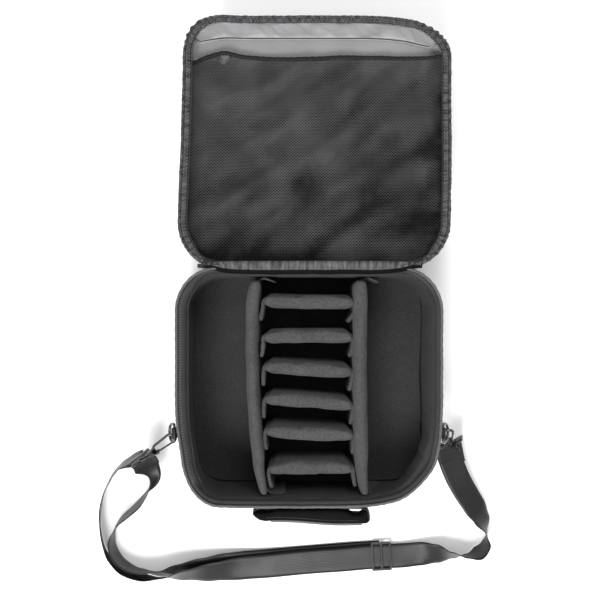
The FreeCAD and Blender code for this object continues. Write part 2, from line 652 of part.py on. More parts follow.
# The strap's middle line, laid by hand on the floor in front of the case and round its left corner.
STRAP_MAIN = [
    (214, -109, 32), (223, -134, 24), (235, -161, 17), (250, -185, 12), (265, -207, 11), (275, -229, 14),
    (278, -250, 18), (268, -265, 19), (251, -272, 18), (228, -272, 14), (204, -269, 8), (178, -271, 3.2),
    (146, -275, 3), (104, -276, 3), (54, -281, 3), (2, -284, 3), (-54, -291, 3), (-104, -295, 4),
    (-152, -302, 8), (-196, -305, 13), (-232, -309, 17), (-264, -305, 19), (-291, -294, 19),
    (-311, -273, 19), (-320, -244, 19), (-323, -213, 19), (-319, -182, 20), (-308, -156, 24),
    (-292, -134, 34), (-274, -120, 47), (-257, -114, 60),
]
STRAP_RETURN = [
    (112, -268, 3.1), (76, -269, 3), (28, -273, 3), (-22, -277, 3), (-70, -283, 3.5), (-118, -286, 6),
    (-160, -292, 9), (-200, -294, 13), (-232, -298, 17), (-262, -296, 19), (-285, -286, 19),
    (-301, -268, 19), (-305, -244, 19), (-295, -220, 19), (-277, -202, 19), (-258, -182, 21),
    (-244, -161, 29), (-237, -142, 42), (-244, -125, 58),
]
ARC_SHARE = 0.45


def cord_shape(name, points):
    """A rod along straight runs joined by tangent arcs, each as large as its two runs allow."""
    at = [Vector(*p) for p in points]
    edges, here, radii = [], at[0], []
    for before, corner, after in zip(at, at[1:], at[2:]):
        back, onward = (before - corner), (after - corner)
        reach = ARC_SHARE * min(back.Length, onward.Length)
        back, onward = Vector(back).normalize(), Vector(onward).normalize()
        half_turn = (math.pi - back.getAngle(onward)) / 2
        radii.append(reach / math.tan(half_turn))
        inside = (back + onward).normalize()
        middle = corner + inside * (radii[-1] / math.cos(half_turn) - radii[-1])
        begin, end = corner + back * reach, corner + onward * reach
        edges.append(Part.LineSegment(here, begin).toShape())
        edges.append(Part.Arc(begin, middle, end).toShape())
        here = end
    edges.append(Part.LineSegment(here, at[-1]).toShape())
    path = Part.Wire(edges)
    print(f"{name}: length {path.Length:.0f}, smallest radius {min(radii):.0f}")
    return swept(path, cell("strap_tube") / 2)


shape_part("strap_main_run", cord_shape("strap_main_run", STRAP_MAIN))
shape_part("strap_return_run", cord_shape("strap_return_run", STRAP_RETURN))

# adjuster: a flat three-bar slide lying on the strap
ADJUSTER_AT = Vector(114, -275, cell("strap_tube") + cell("adjuster_lift"))


def adjuster_shape():
    long = cell("adjuster_length") / 2
    half = cell("strap_width") / 2 + STRAP_PLAY
    wire = cell("adjuster_wire")
    outer = Part.makeBox(2 * long, 2 * half, wire, Vector(-long, -half, 0))
    outer = outer.makeFillet(cell("adjuster_corner"), [e for e in outer.Edges if upright(e)])
    slot = long - 1.5 * wire
    for start in (-long + wire, wire / 2):
        low = Vector(start, wire - half, -wire)
        outer = outer.cut(Part.makeBox(slot, 2 * half - 2 * wire, 3 * wire, low))
    return outer.removeSplitter()


adjuster = shape_part("strap_adjuster", adjuster_shape())
adjuster.Placement = Placement(ADJUSTER_AT, Rotation(Vector(0, 0, 1), cell("adjuster_turn")))

# ---------------------------------------------------------------- zipper sliders and pulls

SLIDER_Y = cell("case_depth") / 2 + cell("slider_off")
SLIDER_Z = cell("base_height") - cell("rim_drop") - cell("slider_thickness")
SLIDER_CORNER = 1.5
BRIDGE = Vector(8.8, 2.4, 1.4)
BRIDGE_DROP = 5.6
POST = 1.6
PULL_TOP = -1.1
PULL_CORNER = 0.5
PULL_SLOT = Vector(4.5, 3.4, 6.0)
PULL_SLOT_TOP = -3.1


def slider_shape():
    """A slider body with a bridge on its outer, lower side for the pull."""
    length, wide, thick = cell("slider_length"), cell("slider_width"), cell("slider_thickness")
    body = Part.makeBox(length, wide, thick, Vector(-length / 2, -wide / 2, 0))
    body = body.makeFillet(SLIDER_CORNER, [e for e in body.Edges if upright(e)])
    low = Vector(-BRIDGE.x / 2, -BRIDGE.y / 2, -BRIDGE_DROP)
    bridge = Part.makeBox(BRIDGE.x, BRIDGE.y, BRIDGE.z, low)
    posts = [Part.makeBox(POST, BRIDGE.y, BRIDGE_DROP, low + Vector(x, 0, 0))
             for x in (0, BRIDGE.x - POST)]
    return body.fuse(posts + [bridge]).removeSplitter()


def pull_shape():
    """A flat pull whose top bar lies between the slider and its bridge."""
    long, wide, thick = cell("pull_length"), cell("pull_width"), cell("pull_thickness")
    plate = Part.makeBox(thick, wide, long, Vector(-thick / 2, -wide / 2, PULL_TOP - long))
    across = [e for e in plate.Edges if abs(e.Vertexes[0].X - e.Vertexes[1].X) > TOUCHING]
    plate = plate.makeFillet(PULL_CORNER, across)
    slot_at = Vector(-PULL_SLOT.x / 2, -PULL_SLOT.y / 2, PULL_SLOT_TOP - PULL_SLOT.z)
    slot = Part.makeBox(PULL_SLOT.x, PULL_SLOT.y, PULL_SLOT.z, slot_at)
    return plate.cut(slot)


for side, name in ((-1, "left"), (1, "right")):
    place = Placement(Vector(side * cell("slider_at"), SLIDER_Y, SLIDER_Z), Rotation())
    shape_part("zipper_slider_" + name, slider_shape()).Placement = place
    shape_part("zipper_pull_" + name, pull_shape()).Placement = place

doc.recompute()

# ---------------------------------------------------------------- checks and files

for obj in doc.Objects:
    if any(state in obj.State for state in ("Invalid", "Error")):
        raise RuntimeError(f"{obj.Label} failed: {obj.State}")
os.makedirs("parts", exist_ok=True)
for part in nodes:
    if part.Shape.isNull() or not part.Shape.isValid():
        raise RuntimeError(f"{part.Label} has no valid shape")
    part.Shape.exportStep(f"parts/{part.Label}.step")
print(len(nodes), "sub-parts written")
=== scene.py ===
import math
from collections import namedtuple

import bmesh
import bpy
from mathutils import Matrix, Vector, noise


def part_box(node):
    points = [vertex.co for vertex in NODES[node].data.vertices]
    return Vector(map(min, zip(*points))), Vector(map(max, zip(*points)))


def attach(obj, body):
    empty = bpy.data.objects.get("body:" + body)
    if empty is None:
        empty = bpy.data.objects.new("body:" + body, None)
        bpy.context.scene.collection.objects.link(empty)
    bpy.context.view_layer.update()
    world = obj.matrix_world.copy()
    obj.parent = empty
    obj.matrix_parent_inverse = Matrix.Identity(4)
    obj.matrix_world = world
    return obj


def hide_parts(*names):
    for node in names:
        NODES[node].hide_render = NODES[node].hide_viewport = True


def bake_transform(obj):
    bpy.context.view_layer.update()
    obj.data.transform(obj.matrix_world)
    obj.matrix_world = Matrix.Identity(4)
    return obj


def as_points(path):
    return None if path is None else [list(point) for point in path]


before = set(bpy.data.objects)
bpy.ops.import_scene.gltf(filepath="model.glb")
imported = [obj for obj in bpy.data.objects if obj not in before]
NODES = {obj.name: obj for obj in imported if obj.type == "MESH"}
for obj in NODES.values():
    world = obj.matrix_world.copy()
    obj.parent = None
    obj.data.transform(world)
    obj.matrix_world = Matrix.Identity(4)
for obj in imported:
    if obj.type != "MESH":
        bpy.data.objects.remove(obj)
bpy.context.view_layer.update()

MM = 0.001
UP = Vector((0, 0, 1))
scene = bpy.context.scene

# ---------------------------------------------------------------- camera

CAMERA_AT = (-0.0127, 0.1238, 1.514)
CAMERA_LENS = 58.04


def make_camera():
    """Straight above the case, looking down, with the lid towards the top of the picture."""
    camera = bpy.data.cameras.new("camera")
    camera.sensor_width = 36
    camera.lens = CAMERA_LENS
    camera.clip_start = 0.05
    holder = bpy.data.objects.new("camera", camera)
    holder.location = CAMERA_AT
    scene.collection.objects.link(holder)
    scene.camera = holder


make_camera()

# ---------------------------------------------------------------- small helpers


def mm(*values):
    return Vector(values) * MM


def smooth_step(t):
    t = min(max(t, 0.0), 1.0)
    return t * t * (3 - 2 * t)


def between(value, low, high):
    """0 below low, 1 above high, smooth in between."""
    return smooth_step((value - low) / (high - low))


def bump_at(value, centre, width):
    """1 at the centre, falling to nothing over a few widths."""
    return math.exp(-(((value - centre) / width) ** 2))


def rough(point, size, seed=0.0):
    """Smooth noise from -1 to 1 whose features are about size across."""
    return noise.noise(Vector(point) / size + Vector((seed, seed * 0.7, -seed)))


def link(obj):
    scene.collection.objects.link(obj)
    return obj


def add_mesh(name, points, faces, material, corners=None):
    """A smooth-shaded mesh object. corners gives each face's UVs, in metres along and across."""
    mesh = bpy.data.meshes.new(name)
    mesh.from_pydata([tuple(p) for p in points], [], faces)
    mesh.polygons.foreach_set("use_smooth", [True] * len(mesh.polygons))
    if corners:
        layer = mesh.uv_layers.new(name="metres")
        layer.data.foreach_set("uv", [value for face in corners for uv in face for value in uv])
    mesh.materials.append(material)
    return link(bpy.data.objects.new(name, mesh))


def lengths(points, closed):
    """The distance walked to each point, and once round if closed."""
    walked = [0.0]
    for a, b in zip(points, points[1:] + points[:1] if closed else points[1:]):
        walked.append(walked[-1] + (b - a).length)
    return walked


def loft(name, rings, material, closed_ring=True, closed_path=False, caps=True):
    """Quads between rings of equally many points, with UVs in metres along the path and round the ring."""
    count, size = len(rings), len(rings[0])
    points = [p for ring in rings for p in ring]
    along = lengths([ring[0] for ring in rings], closed_path)
    around = lengths(rings[count // 2], closed_ring)
    faces, corners = [], []
    for i in range(count if closed_path else count - 1):
        for j in range(size if closed_ring else size - 1):
            k, m = (i + 1) % count, (j + 1) % size
            faces.append((i * size + j, k * size + j, k * size + m, i * size + m))
            corners.append(((along[i], around[j]), (along[i + 1], around[j]),
                            (along[i + 1], around[j + 1]), (along[i], around[j + 1])))
    if caps and closed_ring and not closed_path:
        for i, order in ((0, range(size)), (count - 1, reversed(range(size)))):
            faces.append(tuple(i * size + j for j in order))
            corners.append(tuple((along[i], around[j]) for j in range(size)))
    return add_mesh(name, points, faces, material, corners)


def subdivide(obj, levels=1):
    modifier = obj.modifiers.new("subdivision", "SUBSURF")
    modifier.levels = levels
    modifier.render_levels = levels
    return obj


def dress(obj, body, slot, *nodes):
    """The piece rides on a body and stands for some CAD nodes, which it hides; slot is not used."""
    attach(obj, body)
    if nodes:
        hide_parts(*nodes)
    return obj


# ---------------------------------------------------------------- materials


class Fabric:
    """A node material on one Principled shader, built up from small patterns."""

    def __init__(self, name, roughness=0.8, sheen=0.0, metallic=0.0, specular=0.3):
        self.material = bpy.data.materials.new(name)
        self.material.use_nodes = True
        tree = self.material.node_tree
        tree.nodes.clear()
        self.tree = tree
        self.output = tree.nodes.new("ShaderNodeOutputMaterial")
        self.shader = tree.nodes.new("ShaderNodeBsdfPrincipled")
        tree.links.new(self.shader.outputs["BSDF"], self.output.inputs["Surface"])
        self.shader.inputs["Roughness"].default_value = roughness
        self.shader.inputs["Metallic"].default_value = metallic
        self.shader.inputs["Specular IOR Level"].default_value = specular
        self.shader.inputs["Sheen Weight"].default_value = sheen
        self.shader.inputs["Sheen Roughness"].default_value = 0.5
        self.height = None

    def node(self, kind, **settings):
        made = self.tree.nodes.new("ShaderNode" + kind)
        for key, value in settings.items():
            setattr(made, key, value)
        return made

    def plug(self, socket, value):
        if isinstance(value, bpy.types.NodeSocket):
            self.tree.links.new(value, socket)
        else:
            socket.default_value = value

    def math(self, operation, a, b=0.0):
        made = self.node("Math", operation=operation)
        self.plug(made.inputs[0], a)
        self.plug(made.inputs[1], b)
        return made.outputs[0]

    def place(self, flat):
        """Coordinates in metres: UVs on swept pieces, the object's own elsewhere."""
        made = self.node("TexCoord")
        return made.outputs["UV"] if flat else made.outputs["Object"]

    def split(self, flat):
        made = self.node("SeparateXYZ")
        self.plug(made.inputs[0], self.place(flat))
        return made.outputs[0], made.outputs[1], made.outputs[2]

    def noise(self, size, detail=2.0, flat=False):
        made = self.node("TexNoise")
        self.plug(made.inputs["Vector"], self.place(flat))
        made.inputs["Scale"].default_value = 1 / size
        made.inputs["Detail"].default_value = detail
        return made.outputs["Fac"]

    def streaks(self, size, stretch):
        """Noise whose features are size long along the piece and stretch times that across it."""
        turned = self.node("VectorMath", operation="MULTIPLY")
        self.plug(turned.inputs[0], self.place(True))
        turned.inputs[1].default_value = (1.0, 1 / stretch, 1.0)
        made = self.node("TexNoise")
        self.plug(made.inputs["Vector"], turned.outputs[0])
        made.inputs["Scale"].default_value = 1 / size
        made.inputs["Detail"].default_value = 4
        return made.outputs["Fac"]

    def contrast(self, factor, amount):
        """Spreads a noise value away from its middle."""
        return self.math("ADD", self.math("MULTIPLY", self.math("SUBTRACT", factor, 0.5), amount), 0.5)

    def wave(self, along, period):
        """A sine from 0 to 1 with that period in metres."""
        turned = self.math("SINE", self.math("MULTIPLY", along, 2 * math.pi / period))
        return self.math("ADD", self.math("MULTIPLY", turned, 0.5), 0.5)

    def weave(self, period, flat):
        """Threads crossing over and under one another."""
        x, y, z = self.split(flat)
        across, up = (x, y) if flat else (self.math("ADD", x, z), self.math("ADD", y, z))
        return self.math("MULTIPLY", self.wave(across, period), self.wave(up, period))

    def colour(self, dark, light, factor):
        made = self.node("Mix", data_type="RGBA")
        self.plug(made.inputs[0], factor)
        made.inputs[6].default_value = (*dark, 1)
        made.inputs[7].default_value = (*light, 1)
        self.plug(self.shader.inputs["Base Color"], made.outputs[2])
        return self

    def bump(self, height, depth, strength=1.0):
        """Adds a relief of that depth in metres on top of earlier ones."""
        made = self.node("Bump")
        made.inputs["Distance"].default_value = depth
        made.inputs["Strength"].default_value = strength
        self.plug(made.inputs["Height"], height)
        if self.height:
            self.plug(made.inputs["Normal"], self.height)
        self.height = made.outputs["Normal"]
        self.plug(self.shader.inputs["Normal"], self.height)
        return self

    def vary_roughness(self, factor, low, high):
        made = self.node("MapRange")
        self.plug(made.inputs["Value"], factor)
        made.inputs["To Min"].default_value = low
        made.inputs["To Max"].default_value = high
        self.plug(self.shader.inputs["Roughness"], made.outputs["Result"])
        return self


def grey(value, blue=0.02):
    return value, value, value * (1 + blue)


def woven(name, dark, light, period, depth, flat=True, roughness=0.75, sheen=0.15, patch=0.05,
          specular=0.3):
    """Woven cloth: crossing threads with slow changes of tone."""
    cloth = Fabric(name, roughness, sheen, specular=specular)
    tone = cloth.math("ADD", cloth.math("MULTIPLY", cloth.noise(patch, 4), 0.7),
                      cloth.math("MULTIPLY", cloth.weave(period, flat), 0.35))
    cloth.colour(grey(dark), grey(light), tone)
    cloth.bump(cloth.noise(0.012, 3), depth * 1.5, 0.5)
    cloth.bump(cloth.weave(period, flat), depth)
    cloth.vary_roughness(cloth.noise(0.02), roughness - 0.1, roughness + 0.1)
    return cloth.material


def gathered(name, dark, light, pleat, contrast):
    """Woven binding drawn up in small pleats across its length, with painted highlight along their crests and
    painted shade between them.
    """
    cloth = Fabric(name, 0.45, 0.05, specular=0.3)
    pleats = cloth.contrast(cloth.streaks(pleat, 5), contrast)
    # the pleat relief also sets the colour: paler crests are painted highlight, darker troughs painted shade
    tone = cloth.math("ADD", cloth.math("MULTIPLY", pleats, 0.7),
                      cloth.math("MULTIPLY", cloth.weave(0.0013, True), 0.3))
    made = cloth.node("Clamp")
    cloth.plug(made.inputs["Value"], tone)
    cloth.colour(grey(dark), grey(light), made.outputs[0])
    cloth.bump(pleats, 0.0009, 0.8)
    cloth.bump(cloth.weave(0.0013, True), 0.0002)
    cloth.vary_roughness(cloth.noise(0.02), 0.35, 0.55)
    return cloth.material


def brushed(name, dark, light, pile=0.0009, sheen=0.4, depth=0.0005):
    """Brushed loop fabric: short soft pile with rubbed patches."""
    cloth = Fabric(name, 0.95, sheen, specular=0.1)
    mottled = cloth.contrast(cloth.noise(0.0034, 3), 1.9)
    mottled = cloth.math("ADD", mottled, cloth.contrast(cloth.noise(pile * 1.6, 3), 1.9))
    tone = cloth.math("ADD", cloth.math("MULTIPLY", cloth.noise(0.03, 5), 0.3),
                      cloth.math("MULTIPLY", mottled, 0.35))
    cloth.colour(grey(dark), grey(light), tone)
    cloth.bump(cloth.noise(0.008, 4), depth * 1.6, 0.6)
    cloth.bump(cloth.noise(pile, 2), depth)
    return cloth.material


def ribbed(name, dark, light, period, depth, roughness=0.6, sheen=0.1, specular=0.4):
    """Webbing or tape: fine ribs across its length, crossed by slightly wider cords running along it."""
    cloth = Fabric(name, roughness, sheen, specular=specular)
    along, across, _ = cloth.split(True)
    ribs = cloth.wave(along, period)
    cords = cloth.wave(across, period * 1.7)
    both = cloth.math("ADD", cloth.math("MULTIPLY", ribs, 0.6), cloth.math("MULTIPLY", cords, 0.4))
    tone = cloth.math("ADD", cloth.math("MULTIPLY", cloth.noise(0.04, 3), 0.6),
                      cloth.math("MULTIPLY", both, 0.4))
    cloth.colour(grey(dark), grey(light), tone)
    cloth.bump(both, depth)
    cloth.vary_roughness(cloth.noise(0.03), roughness - 0.08, roughness + 0.1)
    return cloth.material


def metal(name, dark, light, roughness, metallic=1.0):
    """Plated or lacquered metal with fine scratches and worn patches."""
    plate = Fabric(name, roughness, 0.0, metallic, 0.5)
    worn = plate.noise(0.006, 6)
    plate.colour(grey(dark, 0.04), grey(light, 0.04), worn)
    plate.bump(plate.noise(0.0007, 4), 0.00004)
    plate.vary_roughness(worn, roughness - 0.08, roughness + 0.14)
    return plate.material


def plastic_coil():
    coil = Fabric("coil_nylon", 0.4, 0.0, specular=0.5)
    coil.colour(grey(0.02), grey(0.06), coil.noise(0.01, 3))
    coil.bump(coil.noise(0.0006, 2), 0.0001)
    return coil.material


def net_yarn():
    """Slightly shiny knitted yarn, with slow random changes of tone that paint the light and shade of the
    net's folds.
    """
    yarn = Fabric("net_yarn", 0.36, 0.0, specular=0.26)
    # slow noise lightens and darkens the yarn: painted fold shading
    tone = yarn.math("ADD", yarn.math("MULTIPLY", yarn.noise(0.05, 3), 0.8),
                     yarn.math("MULTIPLY", yarn.noise(0.0012, 2), 0.2))
    yarn.colour(grey(0.0), grey(0.046), yarn.contrast(tone, 1.3))
    yarn.bump(yarn.noise(0.0008, 2), 0.0002)
    return yarn.material


SHELL = woven("shell_nylon", 0.004, 0.030, 0.0014, 0.00026, roughness=0.55, sheen=0.05, patch=0.035)
LINING = brushed("loop_lining", 0.014, 0.046, sheen=0.03)
DIVIDER = brushed("divider_cover", 0.012, 0.085, sheen=0.05)
TAB = brushed("hook_tab", 0.008, 0.085, pile=0.0016, sheen=0.05, depth=0.0007)
GREY_NYLON = woven("grey_nylon", 0.13, 0.23, 0.0008, 0.00008, roughness=0.4, sheen=0.0)
# a paler copy of the same grey lining for the lid's side walls: the extra brightness is painted light
GREY_NYLON_WALL_PAINTED_LIGHT = woven("grey_nylon_wall_painted_light", 0.17, 0.34, 0.0008, 0.00008, roughness=0.4, sheen=0.0, patch=0.02)
PIPING = woven("piping_binding", 0.035, 0.10, 0.0011, 0.0002, roughness=0.5, sheen=0.05)
# both bindings get painted highlight on their pleat crests and painted shade between them
LID_BINDING = gathered("lid_binding", 0.002, 0.066, 0.0070, 4.5)
HINGE_CLOTH = gathered("hinge_cloth", 0.006, 0.105, 0.0050, 3.6)
# near black: the hinge hem is painted shadow under the lid's hinge edge
SHADOW_HEM = woven("hinge_shadow_hem", 0.001, 0.006, 0.0012, 0.0001, roughness=0.7, sheen=0.0, specular=0.05)
# pale grey for the cord on the handle's top outer edge: painted highlight where that edge catches the light
HANDLE_EDGE_HIGHLIGHT = woven("handle_edge_highlight", 0.06, 0.16, 0.0011, 0.0002, roughness=0.45, sheen=0.05)
TAPE = ribbed("zipper_tape", 0.010, 0.031, 0.0012, 0.00015, sheen=0.02, specular=0.15)
SEAM_THREAD = woven("seam_thread", 0.02, 0.05, 0.0005, 0.0001, flat=False)
COIL = plastic_coil()
NET = net_yarn()
# near black: painted shade, standing for the shaded lining seen through the net's holes
NET_SHADE_GROUND = brushed("net_shade_ground", 0.001, 0.004, sheen=0.0)
ELASTIC = ribbed("elastic_band", 0.003, 0.012, 0.0016, 0.0003, sheen=0.0, specular=0.2)
WEBBING = ribbed("strap_webbing", 0.002, 0.012, 0.0014, 0.00012, roughness=0.40, sheen=0.0, specular=0.30)
# a much darker copy of the shell nylon for the handle's wrap: painted shade on the handle
SHADED_HANDLE_WRAP = woven("handle_wrap", 0.001, 0.008, 0.0016, 0.0003, roughness=0.7, sheen=0.0, specular=0.06)
THREAD = woven("thread", 0.07, 0.2, 0.0005, 0.0001, flat=False)
NICKEL = metal("dark_nickel", 0.035, 0.12, 0.3)
LACQUER = metal("black_lacquer", 0.008, 0.03, 0.34, metallic=0.6)

# ---------------------------------------------------------------- shoulder strap

STRAP_WIDTH = 0.038
STRAP_THICKNESS = 0.0016
RIGHT_RING_WAY = Vector((0.85, 0.53, 0)).normalized()
LEFT_RING_WAY = Vector((0.83, 0.55, 0)).normalized()

# The route of each run, in millimetres, with how far the strap leans there: 0 lies flat, 90 stands on
# its outer edge.
STRAP_MAIN = [
    (214, -109, 32, 4), (223, -134, 24, 6), (236, -161, 18, 12), (251, -185, 14, 20),
    (265, -207, 15, 44), (275, -229, 19, 78), (278, -250, 20, 100), (268, -265, 20, 108),
    (251, -272, 20, 86), (228, -272, 18, 62), (204, -270, 11.4, 29), (178, -271, 5.8, 6), (146, -275, 5, 0),
    (104, -276, 5, 0), (54, -281, 5, 0), (2, -284, 5, 0), (-54, -290, 5.5, 3), (-104, -294, 7.5, 12),
    (-152, -299, 12, 30), (-196, -303, 17, 52), (-232, -307, 20, 78), (-264, -304, 20.5, 92),
    (-291, -293, 20.5, 92), (-311, -273, 20, 84), (-320, -244, 20, 80), (-323, -213, 20, 80),
    (-319, -182, 20, 84), (-308, -156, 24, 84), (-292, -134, 34, 80), (-274, -119, 47, 70),
    (-257, -114, 60, 56),
]
STRAP_RETURN = [
    (112, -271, 1.6, 0), (76, -273, 1.6, 0), (28, -277, 1.6, 0), (-22, -281, 1.6, 0),
    (-70, -285, 2.5, 4), (-118, -287, 5.5, 14), (-160, -291, 10, 32), (-200, -293, 15, 54),
    (-232, -297, 20, 76), (-262, -296, 20.5, 88), (-285, -286, 20.5, 95), (-301, -268, 20.5, 99),
    (-305, -244, 20.5, 96), (-295, -220, 20, 84), (-275, -204, 20, 79), (-254, -184, 22, 76),
    (-243, -164, 29, 82), (-241, -143, 42, 88), (-245, -125, 58, 70),
]


def smooth_line(points, steps=8):
    """The NURBS line with these control points, as points close together."""
    curve = bpy.data.curves.new("route", "CURVE")
    curve.dimensions = "3D"
    spline = curve.splines.new("NURBS")
    spline.points.add(len(points) - 1)
    for target, point in zip(spline.points, points):
        target.co = (*point, 1)
    spline.order_u = 3
    spline.use_endpoint_u = True
    spline.resolution_u = steps
    holder = bpy.data.objects.new("route", curve)
    mesh = bpy.data.meshes.new_from_object(holder)
    line = [v.co.copy() for v in mesh.vertices]
    bpy.data.meshes.remove(mesh)
    bpy.data.objects.remove(holder)
    bpy.data.curves.remove(curve)
    return line


def value_along(values, share):
    """A value between the listed ones, at a share from 0 to 1 of the list."""
    at = share * (len(values) - 1)
    low = min(int(at), len(values) - 2)
    return values[low] + (values[low + 1] - values[low]) * smooth_step(at - low)


def tangents(line):
    ahead = line[1:] + line[-1:]
    behind = line[:1] + line[:-1]
    return [(b - a).normalized() for a, b in zip(behind, ahead)]


def ribbon(name, line, ways, width, thickness, material, across=8):
    """A flat band along a line. ways are the directions of its width."""
    rings = []
    for point, tangent, way in zip(line, tangents(line), ways):
        way = (way - tangent * way.dot(tangent)).normalized()
        flat = tangent.cross(way)
        ring = []
        for face in (1, -1):
            for k in range(across + 1):
                t = face * (k / across * 2 - 1)
                edge = thickness / 2 * (1 - 0.55 * abs(t) ** 8)
                crown = 0.0004 * (1 - t * t)
                ring.append(point + way * (t * width / 2) + flat * (face * edge + crown))
        rings.append(ring)
    return loft(name, rings, material)


def strap_ways(route, line, start_way, end_way, end_reach):
    """The strap's width directions, from its leans and the rings at its ends."""
    leans = [math.radians(p[3]) for p in route]
    count = len(line) - 1
    found = []
    for i, tangent in enumerate(tangents(line)):
        inner = tangent.cross(UP).normalized()
        lifted = inner.cross(tangent).normalized()
        lean = value_along(leans, i / count)
        found.append(inner * math.cos(lean) + lifted * math.sin(lean))
    for ring_way, end, step, reach in ((start_way, 0, 1, 14), (end_way, count, -1, end_reach)):
        if ring_way is None:
            continue
        turned = ring_way if ring_way.dot(found[end]) > 0 else -ring_way
        for k in range(reach):
            i = end + step * k
            found[i] = found[i].lerp(turned, smooth_step(1 - k / reach) * 0.95)
    return found


def strap_run(name, route, start_way, end_way, end_reach):
    line = smooth_line([mm(*p[:3]) for p in route])
    ways = strap_ways(route, line, start_way, end_way, end_reach)
    return ribbon(name, line, ways, STRAP_WIDTH, STRAP_THICKNESS, WEBBING), line


strap_main, main_line = strap_run("strap_main", STRAP_MAIN, RIGHT_RING_WAY, LEFT_RING_WAY, 20)
dress(strap_main, "base", "webbing", "strap_main_run")
strap_return, return_line = strap_run("strap_return", STRAP_RETURN, None, LEFT_RING_WAY, 12)
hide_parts("strap_return_run")
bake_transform(strap_return)


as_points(main_line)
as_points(return_line)


def fold(name, points, way, body):
    """A short run of webbing bent round a ring's bar."""
    line = smooth_line([mm(*p) for p in points], 6)
    piece = ribbon(name, line, [way] * len(line), STRAP_WIDTH - 0.0006, STRAP_THICKNESS, WEBBING)
    return dress(piece, body, "webbing")


fold("strap_fold_right", [(218.5, -122, 30.5), (216, -114, 33.5), (213.5, -106, 38), (212, -98, 41.5),
                          (216, -96.5, 38), (218, -101, 32), (220, -112, 26), (225, -130, 20)],
     RIGHT_RING_WAY, "base")
fold("strap_fold_left", [(-266, -117.5, 53), (-258, -113, 60), (-253, -111.5, 67.5), (-247.5, -115.5, 71.5),
                         (-244, -120, 66), (-243, -124, 60), (-242.5, -128, 56)],
     LEFT_RING_WAY, "base")

# ---------------------------------------------------------------- walks round the rims

Station = namedtuple("Station", "x y nx ny walked")
CORNER_RADIUS = 0.062


class Rim:
    """The rounded outline of the base or the lid, walked clockwise from the middle of its hinge side."""

    def __init__(self, node, side):
        low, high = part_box(node)
        self.half_w, self.half_d = (high.x - low.x) / 2, (high.y - low.y) / 2
        self.x, self.y = (high.x + low.x) / 2, (high.y + low.y) / 2
        self.side = side

    def stations(self, step):
        w, d, r = self.half_w - CORNER_RADIUS, self.half_d - CORNER_RADIUS, CORNER_RADIUS
        marks = []

        def straight(x0, y0, x1, y1, nx, ny):
            count = max(1, round(math.hypot(x1 - x0, y1 - y0) / step))
            for i in range(count):
                t = i / count
                marks.append((x0 + (x1 - x0) * t, y0 + (y1 - y0) * t, nx, ny))

        def corner(cx, cy, start):
            count = max(4, round(r * math.pi / 2 / step))
            for i in range(count):
                a = math.radians(start - 90 * i / count)
                marks.append((cx + r * math.cos(a), cy + r * math.sin(a), math.cos(a), math.sin(a)))

        straight(0, self.half_d, w, self.half_d, 0, 1)
        corner(w, d, 90)
        straight(self.half_w, d, self.half_w, -d, 1, 0)
        corner(w, -d, 0)
        straight(w, -self.half_d, -w, -self.half_d, 0, -1)
        corner(-w, -d, -90)
        straight(-self.half_w, -d, -self.half_w, d, -1, 0)
        corner(-w, d, -180)
        straight(-w, self.half_d, 0, self.half_d, 0, 1)
        found, walked, last = [], 0.0, None
        for x, y, nx, ny in marks:
            here = Vector((x, y))
            walked += (here - last).length if last else 0.0
            last = here
            found.append(Station(self.x + x, self.y + self.side * y, nx, self.side * ny, walked))
        return found


BASE = Rim("base_wall_fabric", 1)
LID = Rim("lid_wall_fabric", -1)
BASE_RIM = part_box("base_piping")[0].z
LID_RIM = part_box("lid_piping")[0].z
LID_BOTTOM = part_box("lid_top_panel")[0].z
LID_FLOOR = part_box("lid_top_foam")[1].z
FLOOR_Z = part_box("base_bottom_foam")[1].z + 0.0012
LID_NEAR = LID.y - LID.half_d
LID_DEPTH = 2 * LID.half_d


def lid_skew(point):
    """The open lid lies a little to the right, with corners that the soft fabric has pulled out of true."""
    share = min(max((point.y - LID_NEAR) / LID_DEPTH, 0.0), 1.0)
    wavy = 0.0012 * noise.noise(Vector((point.x * 9, point.y * 9, 3.1)))
    x = point.x * (1.012 - 0.028 * share) + 0.0065 + 0.0065 * share + wavy
    y = point.y - 0.003 * (1 - between(share, 0.0, 0.2)) + 0.8 * wavy
    far_left = bump_at(point.x, -0.172, 0.032) * bump_at(point.y, 0.508, 0.034)
    far_right = bump_at(point.x, 0.150, 0.045) * bump_at(point.y, 0.516, 0.034)
    x -= 0.0055 * far_left + 0.003 * far_right
    y += 0.0050 * far_left - 0.0065 * far_right
    return Vector((x, y, point.z))


def slumped(point):
    """The base's front corners have sunk inwards at the rim, the right one more."""
    height = between(point.z, -0.02, 0.15)
    right = 0.020 * bump_at(math.hypot(point.x - 0.172, point.y + 0.153), 0, 0.062) * height
    left = 0.012 * bump_at(math.hypot(point.x + 0.186, point.y + 0.125), 0, 0.055) * height
    return Vector((point.x - 0.71 * right + 0.85 * left, point.y + 0.71 * right + 0.5 * left, point.z))


def same(point):
    return point


def ring_at(station, profile, place):
    return [place(Vector((station.x - station.nx * inset, station.y - station.ny * inset, z)))
            for inset, z in profile]


def sweep(name, stations, profile, material, place=same, closed_ring=True, closed_path=True):
    """A cross-section carried round a rim. profile(station) gives its (inset, height) points."""
    rings = [ring_at(s, profile(s), place) for s in stations]
    return loft(name, rings, material, closed_ring, closed_path)


def round_profile(inset, z, radius, count=10):
    turns = [2 * math.pi * k / count for k in range(count)]
    return [(inset + radius * math.cos(a), z + radius * math.sin(a)) for a in turns]


def cornerness(station):
    """1 in the middle of a round corner, 0 along the straight sides."""
    return 4 * station.nx * station.nx * station.ny * station.ny


